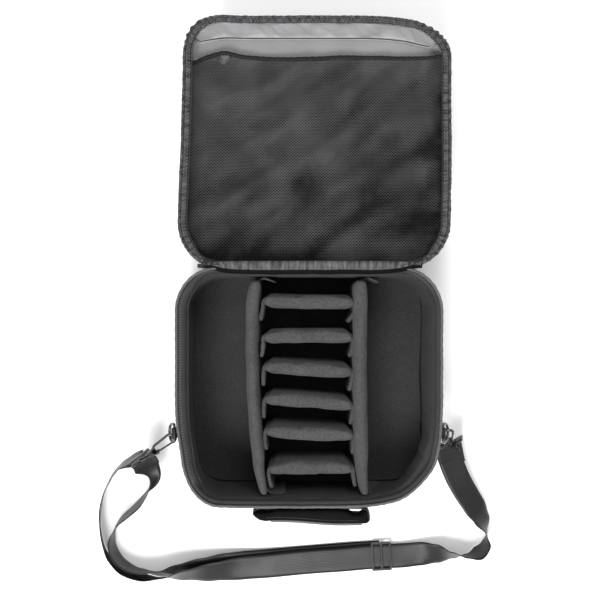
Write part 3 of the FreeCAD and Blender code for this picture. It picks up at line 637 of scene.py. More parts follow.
STITCH_FACES = ((0, 1, 4), (1, 2, 4), (2, 3, 4), (3, 0, 4), (1, 0, 5), (2, 1, 5), (3, 2, 5), (0, 3, 5))


def add_stitch(points, faces, start, end, side, lift):
    """One stitch: a small lozenge of thread from start to end."""
    middle, first = (start + end) / 2, len(points)
    points += [start, middle + side, end, middle - side, middle + lift, middle - lift]
    faces += [tuple(first + k for k in face) for face in STITCH_FACES]


def stitches(name, lines, length, gap, material, body, height=0.0003):
    """Rows of raised stitches along lines of points, each a small lozenge of thread."""
    points, faces = [], []
    for line in lines:
        walked = lengths(line, False)
        total, at, i = walked[-1], 0.0, 0
        while at + length < total:
            ends = []
            for mark in (at, at + length):
                while walked[i + 1] < mark:
                    i += 1
                t = (mark - walked[i]) / max(walked[i + 1] - walked[i], 1e-9)
                ends.append(line[i].lerp(line[i + 1], t))
            a, b = ends
            side = (b - a).cross(UP).normalized() * (height * 1.2)
            add_stitch(points, faces, a, b, side, UP * height)
            at += length + gap
    obj = add_mesh(name, points, faces, material)
    if body:
        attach(obj, body)
    return obj


# ---------------------------------------------------------------- base

SHELL_BULGE = 0.0026


def base_bulge(station, z):
    """How far the padded outer wall stands proud at this height."""
    height = math.sin(math.pi * min(max(z / BASE_RIM, 0), 1))
    dent = rough((station.x, station.y, z), 0.07, 2.0)
    flat = 1 - 0.95 * between(station.ny, 0.6, 1.0)
    crease = max(rough((station.x, station.y, z * 0.5), 0.021, 6.0), 0)
    pull = max(rough((station.x, station.y, z * 0.2), 0.012, 7.0), 0) * between(z, 0.085, 0.120)
    return (-SHELL_BULGE * flat * height * (1 + 0.6 * dent)
            - 0.0008 * rough((station.x, station.y, z * 2), 0.018, 5.0)
            + (0.0026 * crease + 0.0018 * pull) * height ** 0.5)


BASE_WALL_HEIGHTS = (0.010, 0.022, 0.036, 0.052, 0.068, 0.084, 0.100, 0.114, 0.126, 0.135)


def base_shell_profile(station):
    outer = [(0.0025, 0.0008), (0.0006, 0.003)]
    outer += [(base_bulge(station, z), z) for z in BASE_WALL_HEIGHTS]
    top = [(0.0009, 0.1400), (0.0016, 0.1428), (0.0040, 0.1440), (0.0090, 0.1438)]
    inner = [(0.0105, 0.138), (0.0105, 0.080), (0.0105, 0.016), (0.0080, 0.0022)]
    return outer + top + inner


def rounded_disc(name, rim, insets, heights, material, place=same, steps=6, step=0.009):
    """A filled rounded panel: rings stepping inwards, then shrinking to the middle."""
    stations = rim.stations(step)
    rings = [ring_at(s, list(zip(insets, heights)), place) for s in stations]
    rows = [[ring[k] for ring in rings] for k in range(len(insets))]
    centre = sum(rows[-1], Vector()) / len(rows[-1])
    last = rows[-1]
    for k in range(1, steps):
        rows.append([p.lerp(centre, k / steps) for p in last])
    for row in rows[len(insets):]:
        for p in row:
            p.z += 0.0012 * rough((p.x, p.y, 0), 0.06, 8.0)
    size = len(stations)
    points = [p for row in rows for p in row] + [centre]
    faces = [(k * size + i, k * size + (i + 1) % size, (k + 1) * size + (i + 1) % size, (k + 1) * size + i)
             for k in range(len(rows) - 1) for i in range(size)]
    hub = len(points) - 1
    first = (len(rows) - 1) * size
    faces += [(first + i, first + (i + 1) % size, hub) for i in range(size)]
    corners = [tuple((points[v].x, points[v].y) for v in f) for f in faces]
    return add_mesh(name, points, faces, material, corners)


def tape_tilt(station):
    """The right and front rim tapes hang down into the case, the left one lies almost flat."""
    right = between(station.nx, 0.2, 0.9)
    front = between(-station.ny, 0.5, 0.95)
    return math.radians(12 + 58 * max(right, 0.85 * front))


def tape_edge(station):
    tilt = tape_tilt(station) + 0.10 * rough((station.x, station.y, 0), 0.03, 4.0)
    reach = 0.0138 * (1 - 0.6 * between(station.ny, 0.6, 1.0))
    wave = 0.0004 * math.sin(station.walked / 0.0065) * (0.35 + cornerness(station))
    return 0.0040 + reach * math.cos(tilt), BASE_RIM + 0.0007 - reach * math.sin(tilt) + wave


def base_tape_profile(station):
    inset, z = tape_edge(station)
    middle = ((0.0036 + inset) / 2, (BASE_RIM + 0.0012 + z) / 2 + 0.0004)
    top = [(0.0036, BASE_RIM + 0.0014), middle, (inset, z)]
    return top + [(i - 0.0003, h - 0.0011) for i, h in reversed(top)]


def slack(station):
    """How loosely the lining hangs off the wall: most at the front right corner."""
    front_right = bump_at(station.x, 0.176, 0.05) * bump_at(station.y, -0.132, 0.045)
    front_left = bump_at(station.x, -0.176, 0.05) * bump_at(station.y, -0.122, 0.040)
    return 0.015 * front_right + 0.007 * front_left + 0.0012


def lining_profile(station):
    wall = 0.0127
    edge, edge_z = tape_edge(station)
    loose = slack(station)
    gap = between(station.nx, 0.9, 1.0) * (0.35 + 0.9 * bump_at(station.y, 0.012, 0.045))
    front_gap = 0.4 * between(-station.ny, 0.8, 1.0)
    gap = max(gap, front_gap, 0.9 * (station.nx > 0.9) * bump_at(station.y, -0.072, 0.014))
    back = between(station.ny, 0.5, 0.95)
    below_tape = max(0.0118, edge * 0.8) * (1 - back) + 0.0052 * back
    found = [(0.0042, BASE_RIM - 0.0002), (below_tape, min(0.1425, edge_z + 0.0015) - 0.005 * back)]
    for share in (0.93, 0.86, 0.78, 0.70, 0.66, 0.63, 0.60, 0.55, 0.48, 0.4, 0.3, 0.2, 0.11):
        z = FLOOR_Z + (BASE_RIM - FLOOR_Z) * share
        belly = math.sin(math.pi * share) ** 0.8
        crease = rough((station.x, station.y, z * 0.35), 0.022, 11.0)
        ripple = rough((station.x, station.y, z * 0.15), 0.010, 17.0)
        found.append((wall + loose * belly + (0.0012 * crease + 0.0007 * ripple) * (0.4 + 90 * loose), z))
    crest = 0.0030 * gap ** 0.5
    found += [(wall + 0.0008, FLOOR_Z + 0.004), (wall + 0.0008 + 0.0004 * gap, FLOOR_Z + 0.001 - 0.008 * gap),
              (wall + 0.0010 + 0.0034 * gap, FLOOR_Z + 0.0008 - 0.008 * gap),
              (wall + 0.0016 + 0.0034 * gap, FLOOR_Z + 0.0007 + crest),
              (wall + 0.0028 + 0.0034 * gap, FLOOR_Z + 0.0007 + crest),
              (wall + 0.0044 + 0.0030 * gap, FLOOR_Z + 0.0006), (wall + 0.010, FLOOR_Z)]
    return found


def wall_stitches(name, walk, heights, inset, body, place):
    """Rows of stitches round the outside of a wall, at these heights."""
    closed = walk + walk[:1]
    rows = []
    for z in heights:
        outs = [0.0002 - inset(s, z) for s in closed]
        rows.append([place(Vector((s.x + s.nx * out, s.y + s.ny * out, z))) for s, out in zip(closed, outs)])
    stitches(name, rows, 0.0034, 0.0014, SEAM_THREAD, body, 0.0005)


def build_base():
    walk = BASE.stations(0.0055)
    fine = BASE.stations(0.0028)
    shell = sweep("base_shell", walk, base_shell_profile, SHELL, slumped)
    dress(shell, "base", "shell_fabric", "base_wall_fabric", "base_wall_foam")
    bottom = rounded_disc("base_bottom", BASE, (0.0085, 0.0045, 0.0022, 0.006, 0.016),
                          (0.0125, 0.0040, 0.0012, 0.0003, 0.0002), SHELL)
    dress(bottom, "base", "shell_fabric", "base_bottom_panel", "base_bottom_board", "base_bottom_foam")

    lining = sweep("base_lining_wall", fine, lining_profile, LINING, slumped, closed_ring=False)
    dress(lining, "base", "loop_lining", "base_lining")
    floor = rounded_disc("base_lining_floor", BASE, (0.0185, 0.0230, 0.030, 0.045),
                         (FLOOR_Z + 0.0006, FLOOR_Z + 0.0001, FLOOR_Z - 0.0001, FLOOR_Z), LINING)
    dress(floor, "base", "loop_lining")

    def piping_profile(station):
        pucker = 0.00022 * math.sin(station.walked / 0.0021)
        sway = 0.0004 * rough((station.x, station.y, 0), 0.03, 7.0)
        return round_profile(0.0021 + sway, BASE_RIM + 0.0019, 0.0021 + pucker)

    wall_stitches("base_wall_stitches", walk, (0.0105, 0.0140), base_bulge, "base", slumped)
    piping = sweep("base_piping_rope", fine, piping_profile, PIPING, slumped)
    dress(piping, "base", "piping", "base_piping")

    open_walk = [s for s in fine if 0.097 < s.walked < fine[-1].walked - 0.094]
    tape = sweep("base_tape", open_walk, base_tape_profile, TAPE, slumped, closed_path=False)
    dress(tape, "base", "zipper_tape", "base_zipper_tape")
    rows = []
    for share in (0.22, 0.34):
        row = []
        for s in open_walk:
            inset, z = tape_edge(s)
            i, h = 0.0036 + (inset - 0.0036) * share, BASE_RIM + 0.0014 + (z - BASE_RIM - 0.0014) * share
            row.append(slumped(Vector((s.x - s.nx * i, s.y - s.ny * i, h + 0.0004))))
        rows.append(row)
    stitches("base_tape_stitches", rows, 0.0026, 0.0012, THREAD, "base")
    coil_line = []
    for s in open_walk:
        inset, z = tape_edge(s)
        coil_line += ring_at(s, [(inset + 0.0006, z + 0.0004)], slumped)
    coil("base_coil", coil_line, "base", "base_zipper_coil")


def coil(name, line, body, node):
    """The zipper's spiral: a thin thread wound along a line."""
    pitch, radius, thread = 0.0021, 0.0013, 0.00042
    walked = lengths(line, False)
    count = int(walked[-1] / pitch) * 8
    rings, i = [], 0
    for k in range(count):
        mark = walked[-1] * k / count
        while i < len(line) - 2 and walked[i + 1] < mark:
            i += 1
        t = (mark - walked[i]) / max(walked[i + 1] - walked[i], 1e-9)
        along = (line[i + 1] - line[i]).normalized()
        side = along.cross(UP).normalized()
        a = 2 * math.pi * k / 8
        spoke = side * math.cos(a) + UP * math.sin(a)
        centre = line[i].lerp(line[i + 1], t) + spoke * radius
        rings.append([centre + (spoke * math.cos(b) + along * math.sin(b)) * thread
                      for b in (0.0, 2.09, 4.19)])
    return dress(loft(name, rings, COIL), body, "zipper_coil", node)


build_base()

# ---------------------------------------------------------------- lid

LID_LINING_FOOT = 0.0125


def lid_bulge(station, z):
    """The inset of the lid's outer wall at this height; below 0 where it stands proud."""
    height = math.sin(math.pi * (z - LID_BOTTOM) / (LID_RIM - LID_BOTTOM))
    crease = max(rough((station.x, station.y, z * 0.5), 0.020, 6.0), 0)
    return (-0.0016 * height * (1 + 0.8 * rough((station.x, station.y, z), 0.05, 3.0))
            + 0.0016 * crease * max(height, 0) ** 0.5)


def lid_shell_profile(station):
    low, rim = LID_BOTTOM, LID_RIM
    outer = [(0.0070, low + 0.0012), (0.0030, low + 0.0018), (0.0010, low + 0.0042)]
    outer += [(lid_bulge(station, low + up), low + up) for up in (0.009, 0.015, 0.021, 0.027, 0.031)]
    top = [(0.0009, rim - 0.0014), (0.0030, rim - 0.0002), (0.0080, rim - 0.0006)]
    inner = [(0.0088, rim - 0.006), (0.0088, low + 0.020), (0.0088, low + 0.008)]
    return outer + top + inner


def far_end(station):
    """1 along the lid's far side, 0 elsewhere."""
    return between(station.ny, 0.4, 0.95)


def lid_lining_foot(station):
    """Where the side lining meets the floor: far in at the far end, behind the rim along the hinge."""
    hinge = between(-station.ny, 0.30, 0.80)
    far = far_end(station)
    return LID_LINING_FOOT + 0.0105 * far - 0.0078 * hinge, (1 - 0.9 * hinge) * (0.35 + 0.65 * far)


def lid_lining_inset(station, share):
    """The side lining's inset at a share of its height, with its creases and slanting pleats."""
    foot, loose = lid_lining_foot(station)
    z = LID_FLOOR + 0.0012 + (LID_RIM - LID_FLOOR) * share
    top = min(LID_LINING_FOOT - 0.0018, foot - 0.0018)
    slope = top + (foot - top) * (1 - share) ** 1.1
    crease = 0.0042 * rough((station.x, station.y, z * 0.5), 0.026, 21.0)
    pleat = 0.0042 * rough((station.x + z * 0.9, station.y, z * 0.2), 0.010, 23.0)
    return slope + loose * (crease + pleat) * math.sin(math.pi * share) ** 0.6, z


def lid_lining_profile(station):
    foot, loose = lid_lining_foot(station)
    found = [(0.0040 + 0.0020 * loose, LID_RIM - 0.0004)]
    found += [lid_lining_inset(station, share) for share in (0.97, 0.88, 0.76, 0.62, 0.48, 0.34, 0.2, 0.09)]
    return found + [(foot + 0.0012, LID_FLOOR + 0.0018), (foot + 0.006, LID_FLOOR + 0.0012)]


def far_seam_point(x):
    """A point of the straight seam across the lid's far end, on the floor or up the corners' lining."""
    y = LID_NEAR + LID_DEPTH - 0.0255 - 0.0095 * between(abs(x), 0.125, 0.178)
    dx = max(abs(x) - (LID.half_w - CORNER_RADIUS), 0.0)
    dy = y - (LID.y + LID.half_d - CORNER_RADIUS)
    out = math.hypot(dx, dy)
    station = Station(x, y, math.copysign(dx / out, x), dy / out, 0)
    height = LID_FLOOR + 0.0020
    for k in range(46):
        share = 0.05 + 0.02 * k
        inset, z = lid_lining_inset(station, share)
        if inset > CORNER_RADIUS - out:
            height = z
    return lid_skew(Vector((x, y, height + 0.0005)))


def lid_rim_wave(station):
    """The bound edge gathers into small pleats at the corners and waves gently elsewhere."""
    pleats = math.sin(station.walked / 0.0015 + 2.5 * math.sin(station.walked / 0.011))
    gather = (0.15 + cornerness(station)) * pleats
    return 0.0022 * gather + 0.0014 * rough((station.x, station.y, 0), 0.014, 31.0)


def band_width(station):
    """The rim band reaches 12 mm in, 10 mm at the far end and 5 mm along the hinge side."""
    return 0.0122 - 0.0022 * between(station.ny, 0.6, 1.0) - 0.0072 * between(-station.ny, 0.6, 1.0)


def lid_band_profile(station):
    wave = lid_rim_wave(station)
    z = LID_RIM + 0.0014
    wide = band_width(station)
    top = [(wide * 0.28, z + 0.0004), (wide * 0.5, z + 0.0009 + wave), (wide * 0.74, z + 0.0002 - wave * 0.4),
           (wide, z - 0.0006 + wave * 0.8)]
    return top + [(i - 0.0002, h - 0.0012) for i, h in reversed(top)]


def build_lid():
    walk = LID.stations(0.0055)
    fine = LID.stations(0.0024)
    shell = sweep("lid_shell", walk, lid_shell_profile, SHELL, lid_skew)
    dress(shell, "lid", "shell_fabric", "lid_wall_fabric", "lid_wall_foam")
    top = rounded_disc("lid_top", LID, (0.0088, 0.0055, 0.0070, 0.012, 0.022, 0.035),
                       (LID_BOTTOM + 0.008, LID_BOTTOM + 0.0030, LID_BOTTOM + 0.0012, LID_BOTTOM + 0.0004,
                        LID_BOTTOM - 0.0006, LID_BOTTOM - 0.0012), SHELL, lid_skew)
    dress(top, "lid", "shell_fabric", "lid_top_panel", "lid_top_foam")

    # the side lining takes the paler copy of the grey nylon: painted light
    lining = sweep("lid_lining_wall", fine, lid_lining_profile, GREY_NYLON_WALL_PAINTED_LIGHT, lid_skew, closed_ring=False)
    dress(lining, "lid", "grey_lining", "lid_lining")
    seam_line = [far_seam_point(-0.175 + 0.002 * k) for k in range(176)]
    seam_turns = (0, 1.26, 2.51, 3.77, 5.03)
    seam_rings = [[p + Vector((0, 0.0008 * math.cos(a), 0.0006 * math.sin(a))) for a in seam_turns]
                  for p in seam_line]
    dress(loft("lid_lining_seam", seam_rings, SEAM_THREAD), "lid", "grey_lining")
    stitches("lid_seam_stitches", [[p + Vector((0, -0.0026, -0.0004)) for p in seam_line]],
                     0.0024, 0.0012, SEAM_THREAD, "lid")
    floor = rounded_disc("lid_lining_panel", LID, (0.0125, 0.0200, 0.0290, 0.042),
                         (LID_FLOOR + 0.0020, LID_FLOOR + 0.0014, LID_FLOOR + 0.0013, LID_FLOOR + 0.0013),
                         GREY_NYLON, lid_skew, steps=10)
    dress(floor, "lid", "grey_lining")

    def piping_profile(station):
        pucker = 0.00030 * math.sin(station.walked / 0.0016) * (0.5 + cornerness(station))
        wave = lid_rim_wave(station)
        return round_profile(0.0021 + 0.6 * wave, LID_RIM + 0.0019 + 0.5 * wave, 0.0021 + pucker)

    wall_stitches("lid_wall_stitches", walk, (LID_BOTTOM + 0.0095,), lid_bulge, "lid", lid_skew)
    piping = sweep("lid_piping_rope", fine, piping_profile, LID_BINDING, lid_skew)
    dress(piping, "lid", "piping", "lid_piping")
    band = sweep("lid_binding", fine, lid_band_profile, LID_BINDING, lid_skew)
    dress(band, "lid", "zipper_tape", "lid_zipper_tape")
    rows = []
    for share, follow in ((0.50, 1.0), (0.86, 0.3)):
        rows.append([lid_skew(Vector((s.x - s.nx * band_width(s) * share, s.y - s.ny * band_width(s) * share,
                                      LID_RIM + 0.0026 + lid_rim_wave(s) * follow))) for s in fine])
    stitches("lid_band_stitches", rows, 0.0030, 0.0018, THREAD, "lid", 0.0005)
    open_walk = [s for s in fine if 0.100 < s.walked < fine[-1].walked - 0.097]
    line = [lid_skew(Vector((s.x - s.nx * (band_width(s) + 0.0007), s.y - s.ny * (band_width(s) + 0.0007),
                             LID_RIM + 0.0012 + 0.7 * lid_rim_wave(s)))) for s in open_walk]
    coil("lid_coil", line, "lid", "lid_zipper_coil")


build_lid()

# ---------------------------------------------------------------- mesh pocket

NET_COLUMN = 0.0044
NET_ROW = 0.0020
NET_HOLE = 0.60
NET_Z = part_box("mesh_pocket")[0].z
NET_INSET = 0.0100
NET_HINGE_INSET = 0.0030


def net_edge_y(x):
    """Where the pocket's elastic mouth runs, with the sags and the small dip near its left end."""
    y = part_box("pocket_elastic")[0].y + 0.004
    y += 0.0068 * bump_at(x, -0.135, 0.020) - 0.008 * bump_at(x, -0.178, 0.012)
    return y + 0.0012 * math.sin(x / 0.022) + 0.0022 * bump_at(x, 0.10, 0.05)


def rim_distance(x, y):
    """How far a point lies inside the lid's outline."""
    dx = abs(x - LID.x) - (LID.half_w - CORNER_RADIUS)
    dy = abs(y - LID.y) - (LID.half_d - CORNER_RADIUS)
    return CORNER_RADIUS - math.hypot(max(dx, 0), max(dy, 0)) - min(max(dx, dy), 0)


def net_inset(x, y):
    """Like the rim band, the net's edge is nearer the outline along the hinge side."""
    dx = max(abs(x - LID.x) - (LID.half_w - CORNER_RADIUS), 0)
    dy = max(LID_NEAR + CORNER_RADIUS - y, 0)
    hinge = dy / max(math.hypot(dx, dy), 1e-6)
    return NET_INSET + (NET_HINGE_INSET - NET_INSET) * between(hinge, 0.55, 1.0)


def net_height(x, y):
    """The net hangs from the rim on three sides and lies in soft folds across the middle."""
    depth = rim_distance(x, y) - net_inset(x, y)
    near_rim = LID_RIM - 0.0035 - NET_Z
    rise = near_rim * math.exp(-((max(depth, 0) / 0.014) ** 1.3))
    along, across = x * 0.80 + y * 0.60, y * 0.80 - x * 0.60
    folds = 0.0080 * rough((along * 0.5, across, 0), 0.045, 41.0)
    small = 0.0030 * rough((along * 0.4, across, 0), 0.020, 43.0)
    middle = between(depth, 0.004, 0.04)
    return NET_Z + 0.0012 + rise + (folds + small) * middle


def net_hole_shading(x, y):
    """How open the cells are, which sets how much near-black ground shows: holes widen near the rim as a
    painted shadow along it, and the slope and streaks paint fold shading, darker at the near right and
    lighter at the far left.
    """
    streak = rough((x * 0.35 + y * 0.25, y * 0.80 - x * 0.60, 0), 0.026, 45.0)
    wide = rough((x, y, 0), 0.085, 46.0)
    slope = between((x - LID.x) * 0.55 - (y - LID.y), -0.22, 0.22) - 0.5
    depth = rim_distance(x, y) - net_inset(x, y)
    edge = 1 - between(depth, 0.0, 0.011)
    far_side = between(y, LID.y + 0.05, LID.y + 0.09)
    # edge widens the holes near the rim as a painted shadow; slope and streak paint fold shading
    hole = NET_HOLE - 0.02 + 0.34 * slope + 0.27 * streak + 0.14 * wide + 0.24 * edge * (1 - far_side * 0.5)
    return min(max(hole, 0.26), 0.88)


def net_point(x, y, drop=0.0):
    return lid_skew(Vector((x, y, net_height(x, y) - drop)))


MOUTH_GAP_X = -0.1355
MOUTH_GAP_TIP = 0.0135      # below the net's edge, where the opening comes to its point
MOUTH_GAP_HALF = 0.0100     # half its width at the top, which is 10.5 mm above the point


def mouth_gap(x, y):
    """True in the small opening beside the mouth's left end, where the pale lining shows."""
    top = net_edge_y(x)
    half = MOUTH_GAP_HALF * (y - top + MOUTH_GAP_TIP) / 0.0105
    return abs(x - MOUTH_GAP_X) < half and top - MOUTH_GAP_TIP < y < top - 0.003


def build_net():
    points, faces = [], []
    low_y, high_y = LID_NEAR + NET_HINGE_INSET, LID_NEAR + LID_DEPTH
    reach = LID.half_w - NET_INSET
    corners = [(0.5, 0.5), (0.0, 1.0), (-0.5, 0.5), (-0.5, -0.5), (0.0, -1.0), (0.5, -0.5)]
    shape = [(u * NET_COLUMN, v * NET_ROW / 1.5) for u, v in corners]
    for row in range(int((high_y - low_y) / NET_ROW)):
        cy = low_y + row * NET_ROW
        for column in range(int(2 * reach / NET_COLUMN) + 1):
            cx = -reach + (column + 0.5 * (row % 2)) * NET_COLUMN
            if rim_distance(cx, cy) < net_inset(cx, cy) or cy > net_edge_y(cx) or mouth_gap(cx, cy):
                continue
            first = len(points)
            points += [net_point(cx + u, cy + v) for u, v in shape]
            hole = net_hole_shading(cx, cy) * (1 + 0.10 * rough((cx, cy, 0), 0.008, 47.0))
            points += [net_point(cx + u * hole, cy + v * hole, 0.0003) for u, v in shape]
            for k in range(6):
                after = (k + 1) % 6
                faces.append((first + k, first + after, first + 6 + after, first + 6 + k))
    net = add_mesh("pocket_net", points, faces, NET)
    dress(net, "lid", "mesh", "mesh_pocket")
    width, depth = 2 * reach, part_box("pocket_elastic")[0].y - low_y
    build_ground(width, depth, low_y, reach)


def build_ground(width, depth, low_y, reach):
    """The net's knitted back, just under its holes, near black as painted shade for the shaded lining behind
    the net.
    """
    step = 0.0022
    columns, rows = int(2 * reach / step), int((depth + 0.02) / step)
    index, points, faces = {}, [], []
    for row in range(rows + 1):
        for column in range(columns + 1):
            x, y = -reach + column * step, low_y + row * step
            inside = rim_distance(x, y) > net_inset(x, y) - 0.001 and y < net_edge_y(x) + 0.001
            if inside and not mouth_gap(x, y):
                index[row, column] = len(points)
                points.append(net_point(x, y, 0.0011))
    for row, column in index:
        around = [(row, column), (row, column + 1), (row + 1, column + 1), (row + 1, column)]
        if all(key in index for key in around):
            faces.append(tuple(index[key] for key in around))
    ground = add_mesh("pocket_ground", points, faces, NET_SHADE_GROUND)
    dress(ground, "lid", "mesh")


def build_elastic():
    """A ribbed band gathered along the pocket's mouth."""
    rings = []
    reach = LID.half_w - NET_INSET
    count = 260
    for i in range(count + 1):
        x = -reach + 2 * reach * i / count
        y = net_edge_y(x)
        z = net_height(x, y) + 0.0006
        ruffle = 0.0009 * math.sin(x / 0.0016) + 0.0008 * rough((x, y, 0), 0.012, 53.0)
        section = [(-0.0016, 0.0), (0.0012, 0.0012 + ruffle), (0.0040, 0.0004 + ruffle),
                   (0.0042, -0.0004 + ruffle), (0.0012, 0.0003 + ruffle), (-0.0016, -0.0008)]
        rings.append([lid_skew(Vector((x, y + dy, z + dz))) for dy, dz in section])
    dress(loft("pocket_mouth_band", rings, ELASTIC), "lid", "elastic", "pocket_elastic")


build_net()
build_elastic()

# ---------------------------------------------------------------- hinge strip


def build_hinge_strip():
    """The stitched cloth that covers both rims along the hinge, with a near-black hem under its near edge
    that paints the shadow below the lid's hinge edge.
    """
    left, right, count = -0.149, 0.160, 170
    def sheet_ring(x, edge, thickness):
        """A thin closed section at x: the edge's points, and the same points lower by the thickness."""
        below = [(y, z - thickness) for y, z in reversed(edge)]
        return [Vector((x, y, z)) for y, z in edge + below]

    rings, rows, shadow_hem_rings = [], [[], []], []
    for i in range(count + 1):
        x = left + (right - left) * i / count
        end = max(bump_at(x, left, 0.026), bump_at(x, right, 0.028))
        near = 0.1663 + 0.0088 * end + 0.0007 * rough((x, 0, 0), 0.03, 61.0)
        far = 0.1790 - 0.0024 * end
        lift = 0.0011 * rough((x, 1, 0), 0.012, 63.0) + 0.0006 * math.sin(x / 0.0012)
        top = [(near, 0.1490), (near + 0.0012, 0.1502 + lift), (near + 0.0045, 0.1510 - lift),
               (far - 0.0040, 0.1516 + lift), (far - 0.0010, 0.1514 + lift * 0.5), (far, 0.1500)]
        rings.append(sheet_ring(x, top, 0.0012))
        # the hem under the near edge is near black: painted shadow below the hinge
        sag = 0.0008 * rough((x, 2, 0), 0.02, 65.0)
        shadow_hem = [(near + 0.0022, 0.1494), (near - 0.0026, 0.1487 + sag), (near - 0.0058 + sag, 0.1462 + sag)]
        shadow_hem_rings.append(sheet_ring(x, shadow_hem, 0.0008))
        rows[0].append(Vector((x, near + 0.0028, 0.1509)))
        rows[1].append(Vector((x, far - 0.0030, 0.1519 + lift)))
    strip = loft("hinge_cloth", rings, HINGE_CLOTH)
    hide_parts("hinge_strip")
    shadow_hem = loft("hinge_shadow_hem", shadow_hem_rings, SHADOW_HEM)
    seam = stitches("hinge_stitches", rows, 0.0026, 0.0012, SEAM_THREAD, None)
    for piece in (strip, shadow_hem, seam):
        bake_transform(piece)


build_hinge_strip()

# ---------------------------------------------------------------- dividers


def padded_box(size, rounding):
    """A box with rounded edges, standing on z = 0 and centred in x and y, in its own mesh."""
    made = bmesh.new()
    bmesh.ops.create_cube(made, size=1)
    for v in made.verts:
        v.co = Vector((v.co.x * size.x, v.co.y * size.y, (v.co.z + 0.5) * size.z))
    bmesh.ops.bevel(made, geom=list(made.edges), offset=rounding, segments=3, profile=0.6, affect="EDGES")
    mesh = bpy.data.meshes.new("pad")
    made.to_mesh(mesh)
    made.free()
    return mesh


def evaluated(obj):
    graph = bpy.context.evaluated_depsgraph_get()
    return bpy.data.meshes.new_from_object(obj.evaluated_get(graph))


PUFF_FRAMES = 20
PUFF_PRESSURE = 4.0


def puffed(size, rounding, voxel, cap):
    """The padded box after a short cloth simulation with air pressure inside, no point moved past cap."""
    obj = link(bpy.data.objects.new("puff", padded_box(size, rounding)))
    remesh = obj.modifiers.new("remesh", "REMESH")
    remesh.mode = "VOXEL"
    remesh.voxel_size = voxel
    dense = evaluated(obj)
    obj.modifiers.clear()
    obj.data = dense
    cloth = obj.modifiers.new("cloth", "CLOTH")
    settings = cloth.settings
    settings.quality = 5
    settings.mass = 0.3
    settings.tension_stiffness = 40
    settings.compression_stiffness = 40
    settings.bending_stiffness = 4
    settings.use_pressure = True
    settings.uniform_pressure_force = PUFF_PRESSURE
    settings.effector_weights.gravity = 0
    cloth.point_cache.frame_start = 1
    cloth.point_cache.frame_end = PUFF_FRAMES
    for number in range(1, PUFF_FRAMES + 1):
        scene.frame_set(number)
    blown = evaluated(obj)
    obj.modifiers.clear()
    for old, new in zip(dense.vertices, blown.vertices):
        move = new.co - old.co
        if move.length > cap:
            move *= cap / move.length
        old.co += move
    bpy.data.meshes.remove(blown)
    scene.frame_set(1)
    bpy.data.objects.remove(obj)
    return dense


def divider(name, body, mesh, shape):
    """A pad set in its place by shape(point), with one subdivision."""
    mesh = mesh.copy()
    for v in mesh.vertices:
        v.co = shape(v.co)
    mesh.polygons.foreach_set("use_smooth", [True] * len(mesh.polygons))
    mesh.materials.clear()
    mesh.materials.append(DIVIDER)
    obj = subdivide(link(bpy.data.objects.new(name, mesh)))
    dress(obj, body, "divider_cover", body)
    return obj


def tab(name, body, path, low, high, thick=0.0017):
    """A flat flap that stands along a path in plan, with its corners rounded off."""
    line = smooth_line([Vector((x, y, 0)) for x, y in path], 5)
    count = len(line) - 1
    rings = []
    for i, (point, tangent) in enumerate(zip(line, tangents(line))):
        side = tangent.cross(UP).normalized()
        share = i / count
        trim = 0.010 * max(0.0, 1 - (1 - share) / 0.14) ** 2
        half = thick + 0.0005 * rough((point.x, point.y, low), 0.008, 71.0)
        half *= 1 - 0.6 * max(0.0, 1 - (1 - share) / 0.06) ** 2
        heights = [low + trim + (high - low - 2 * trim) * k / 8 for k in range(9)]
        wave = [0.0007 * rough((point.x * 2, point.y * 2, z), 0.03, 73.0) for z in heights]
        ring = [point + side * (half + w) + UP * z for z, w in zip(heights, wave)]
        crown = point + UP * (high - trim + half * 0.7)
        ring += [crown + side * half * 0.5, crown - side * half * 0.5]
        ring += [point - side * (half - w) + UP * z for z, w in reversed(list(zip(heights, wave)))]
        rings.append(ring)
    return dress(loft(name, rings, TAB), body, "hook_tab", body + "_tabs")


LEFT_BOW = [0.0050, -0.0010, -0.0014, 0.0002, 0.0040, 0.0095, 0.0185]
RIGHT_BOW = [0.0016, 0.0022, 0.0012, 0.0016, 0.0020, 0.0036, 0.0085]


def long_divider_x(bow, y):
    """How far the top of a long divider stands from its straight line, back to front."""
    return value_along(bow, min(max(0.5 - y / 0.316, 0.0), 1.0))


def build_long_divider(name, mesh, bow, swell):
    low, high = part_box(name)
    centre = (low + high) / 2
    height = high.z - low.z

    def shape(p):
        up = 0.45 + 0.55 * p.z / height
        lean = long_divider_x(bow, p.y) * up
        soft = 0.0010 * rough((p.x, p.y + centre.x * 9, p.z), 0.028, 81.0)
        top_sag = 0.0016 * rough((0, p.y, 0), 0.06, centre.x * 50) * between(p.z, 0.05, height)
        thin = swell * (1 - 0.35 * between(-p.y, 0.08, 0.154)) * (0.86 + 0.14 * between(p.z, 0, 0.03))
        longer = 1.022 + 0.022 * between(-p.y, 0.05, 0.15) * between(p.z, 0.03, height)
        return Vector((centre.x + p.x * thin + lean + soft, p.y * longer, low.z + p.z + top_sag))

    divider(name + "_pad", name, mesh, shape)
    tabs_low, tabs_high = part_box(name + "_tabs")
    for end, side in (("front", -1), ("back", 1)):
        y = side * (0.5 * (tabs_high.y - tabs_low.y) + 0.0012)
        x = centre.x + long_divider_x(bow, y)
        slant = 0.0055 * (side > 0)
        path = [(x + 0.001, y - side * 0.009), (x + 0.005, y - side * 0.0025), (x + 0.012, y - side * 0.001),
                (x + 0.020, y - side * (0.001 + slant * 0.6)), (x + 0.028, y - side * (0.0015 + slant))]
        tab(f"{name}_{end}_flap", name, path, tabs_low.z, tabs_high.z, 0.0014)


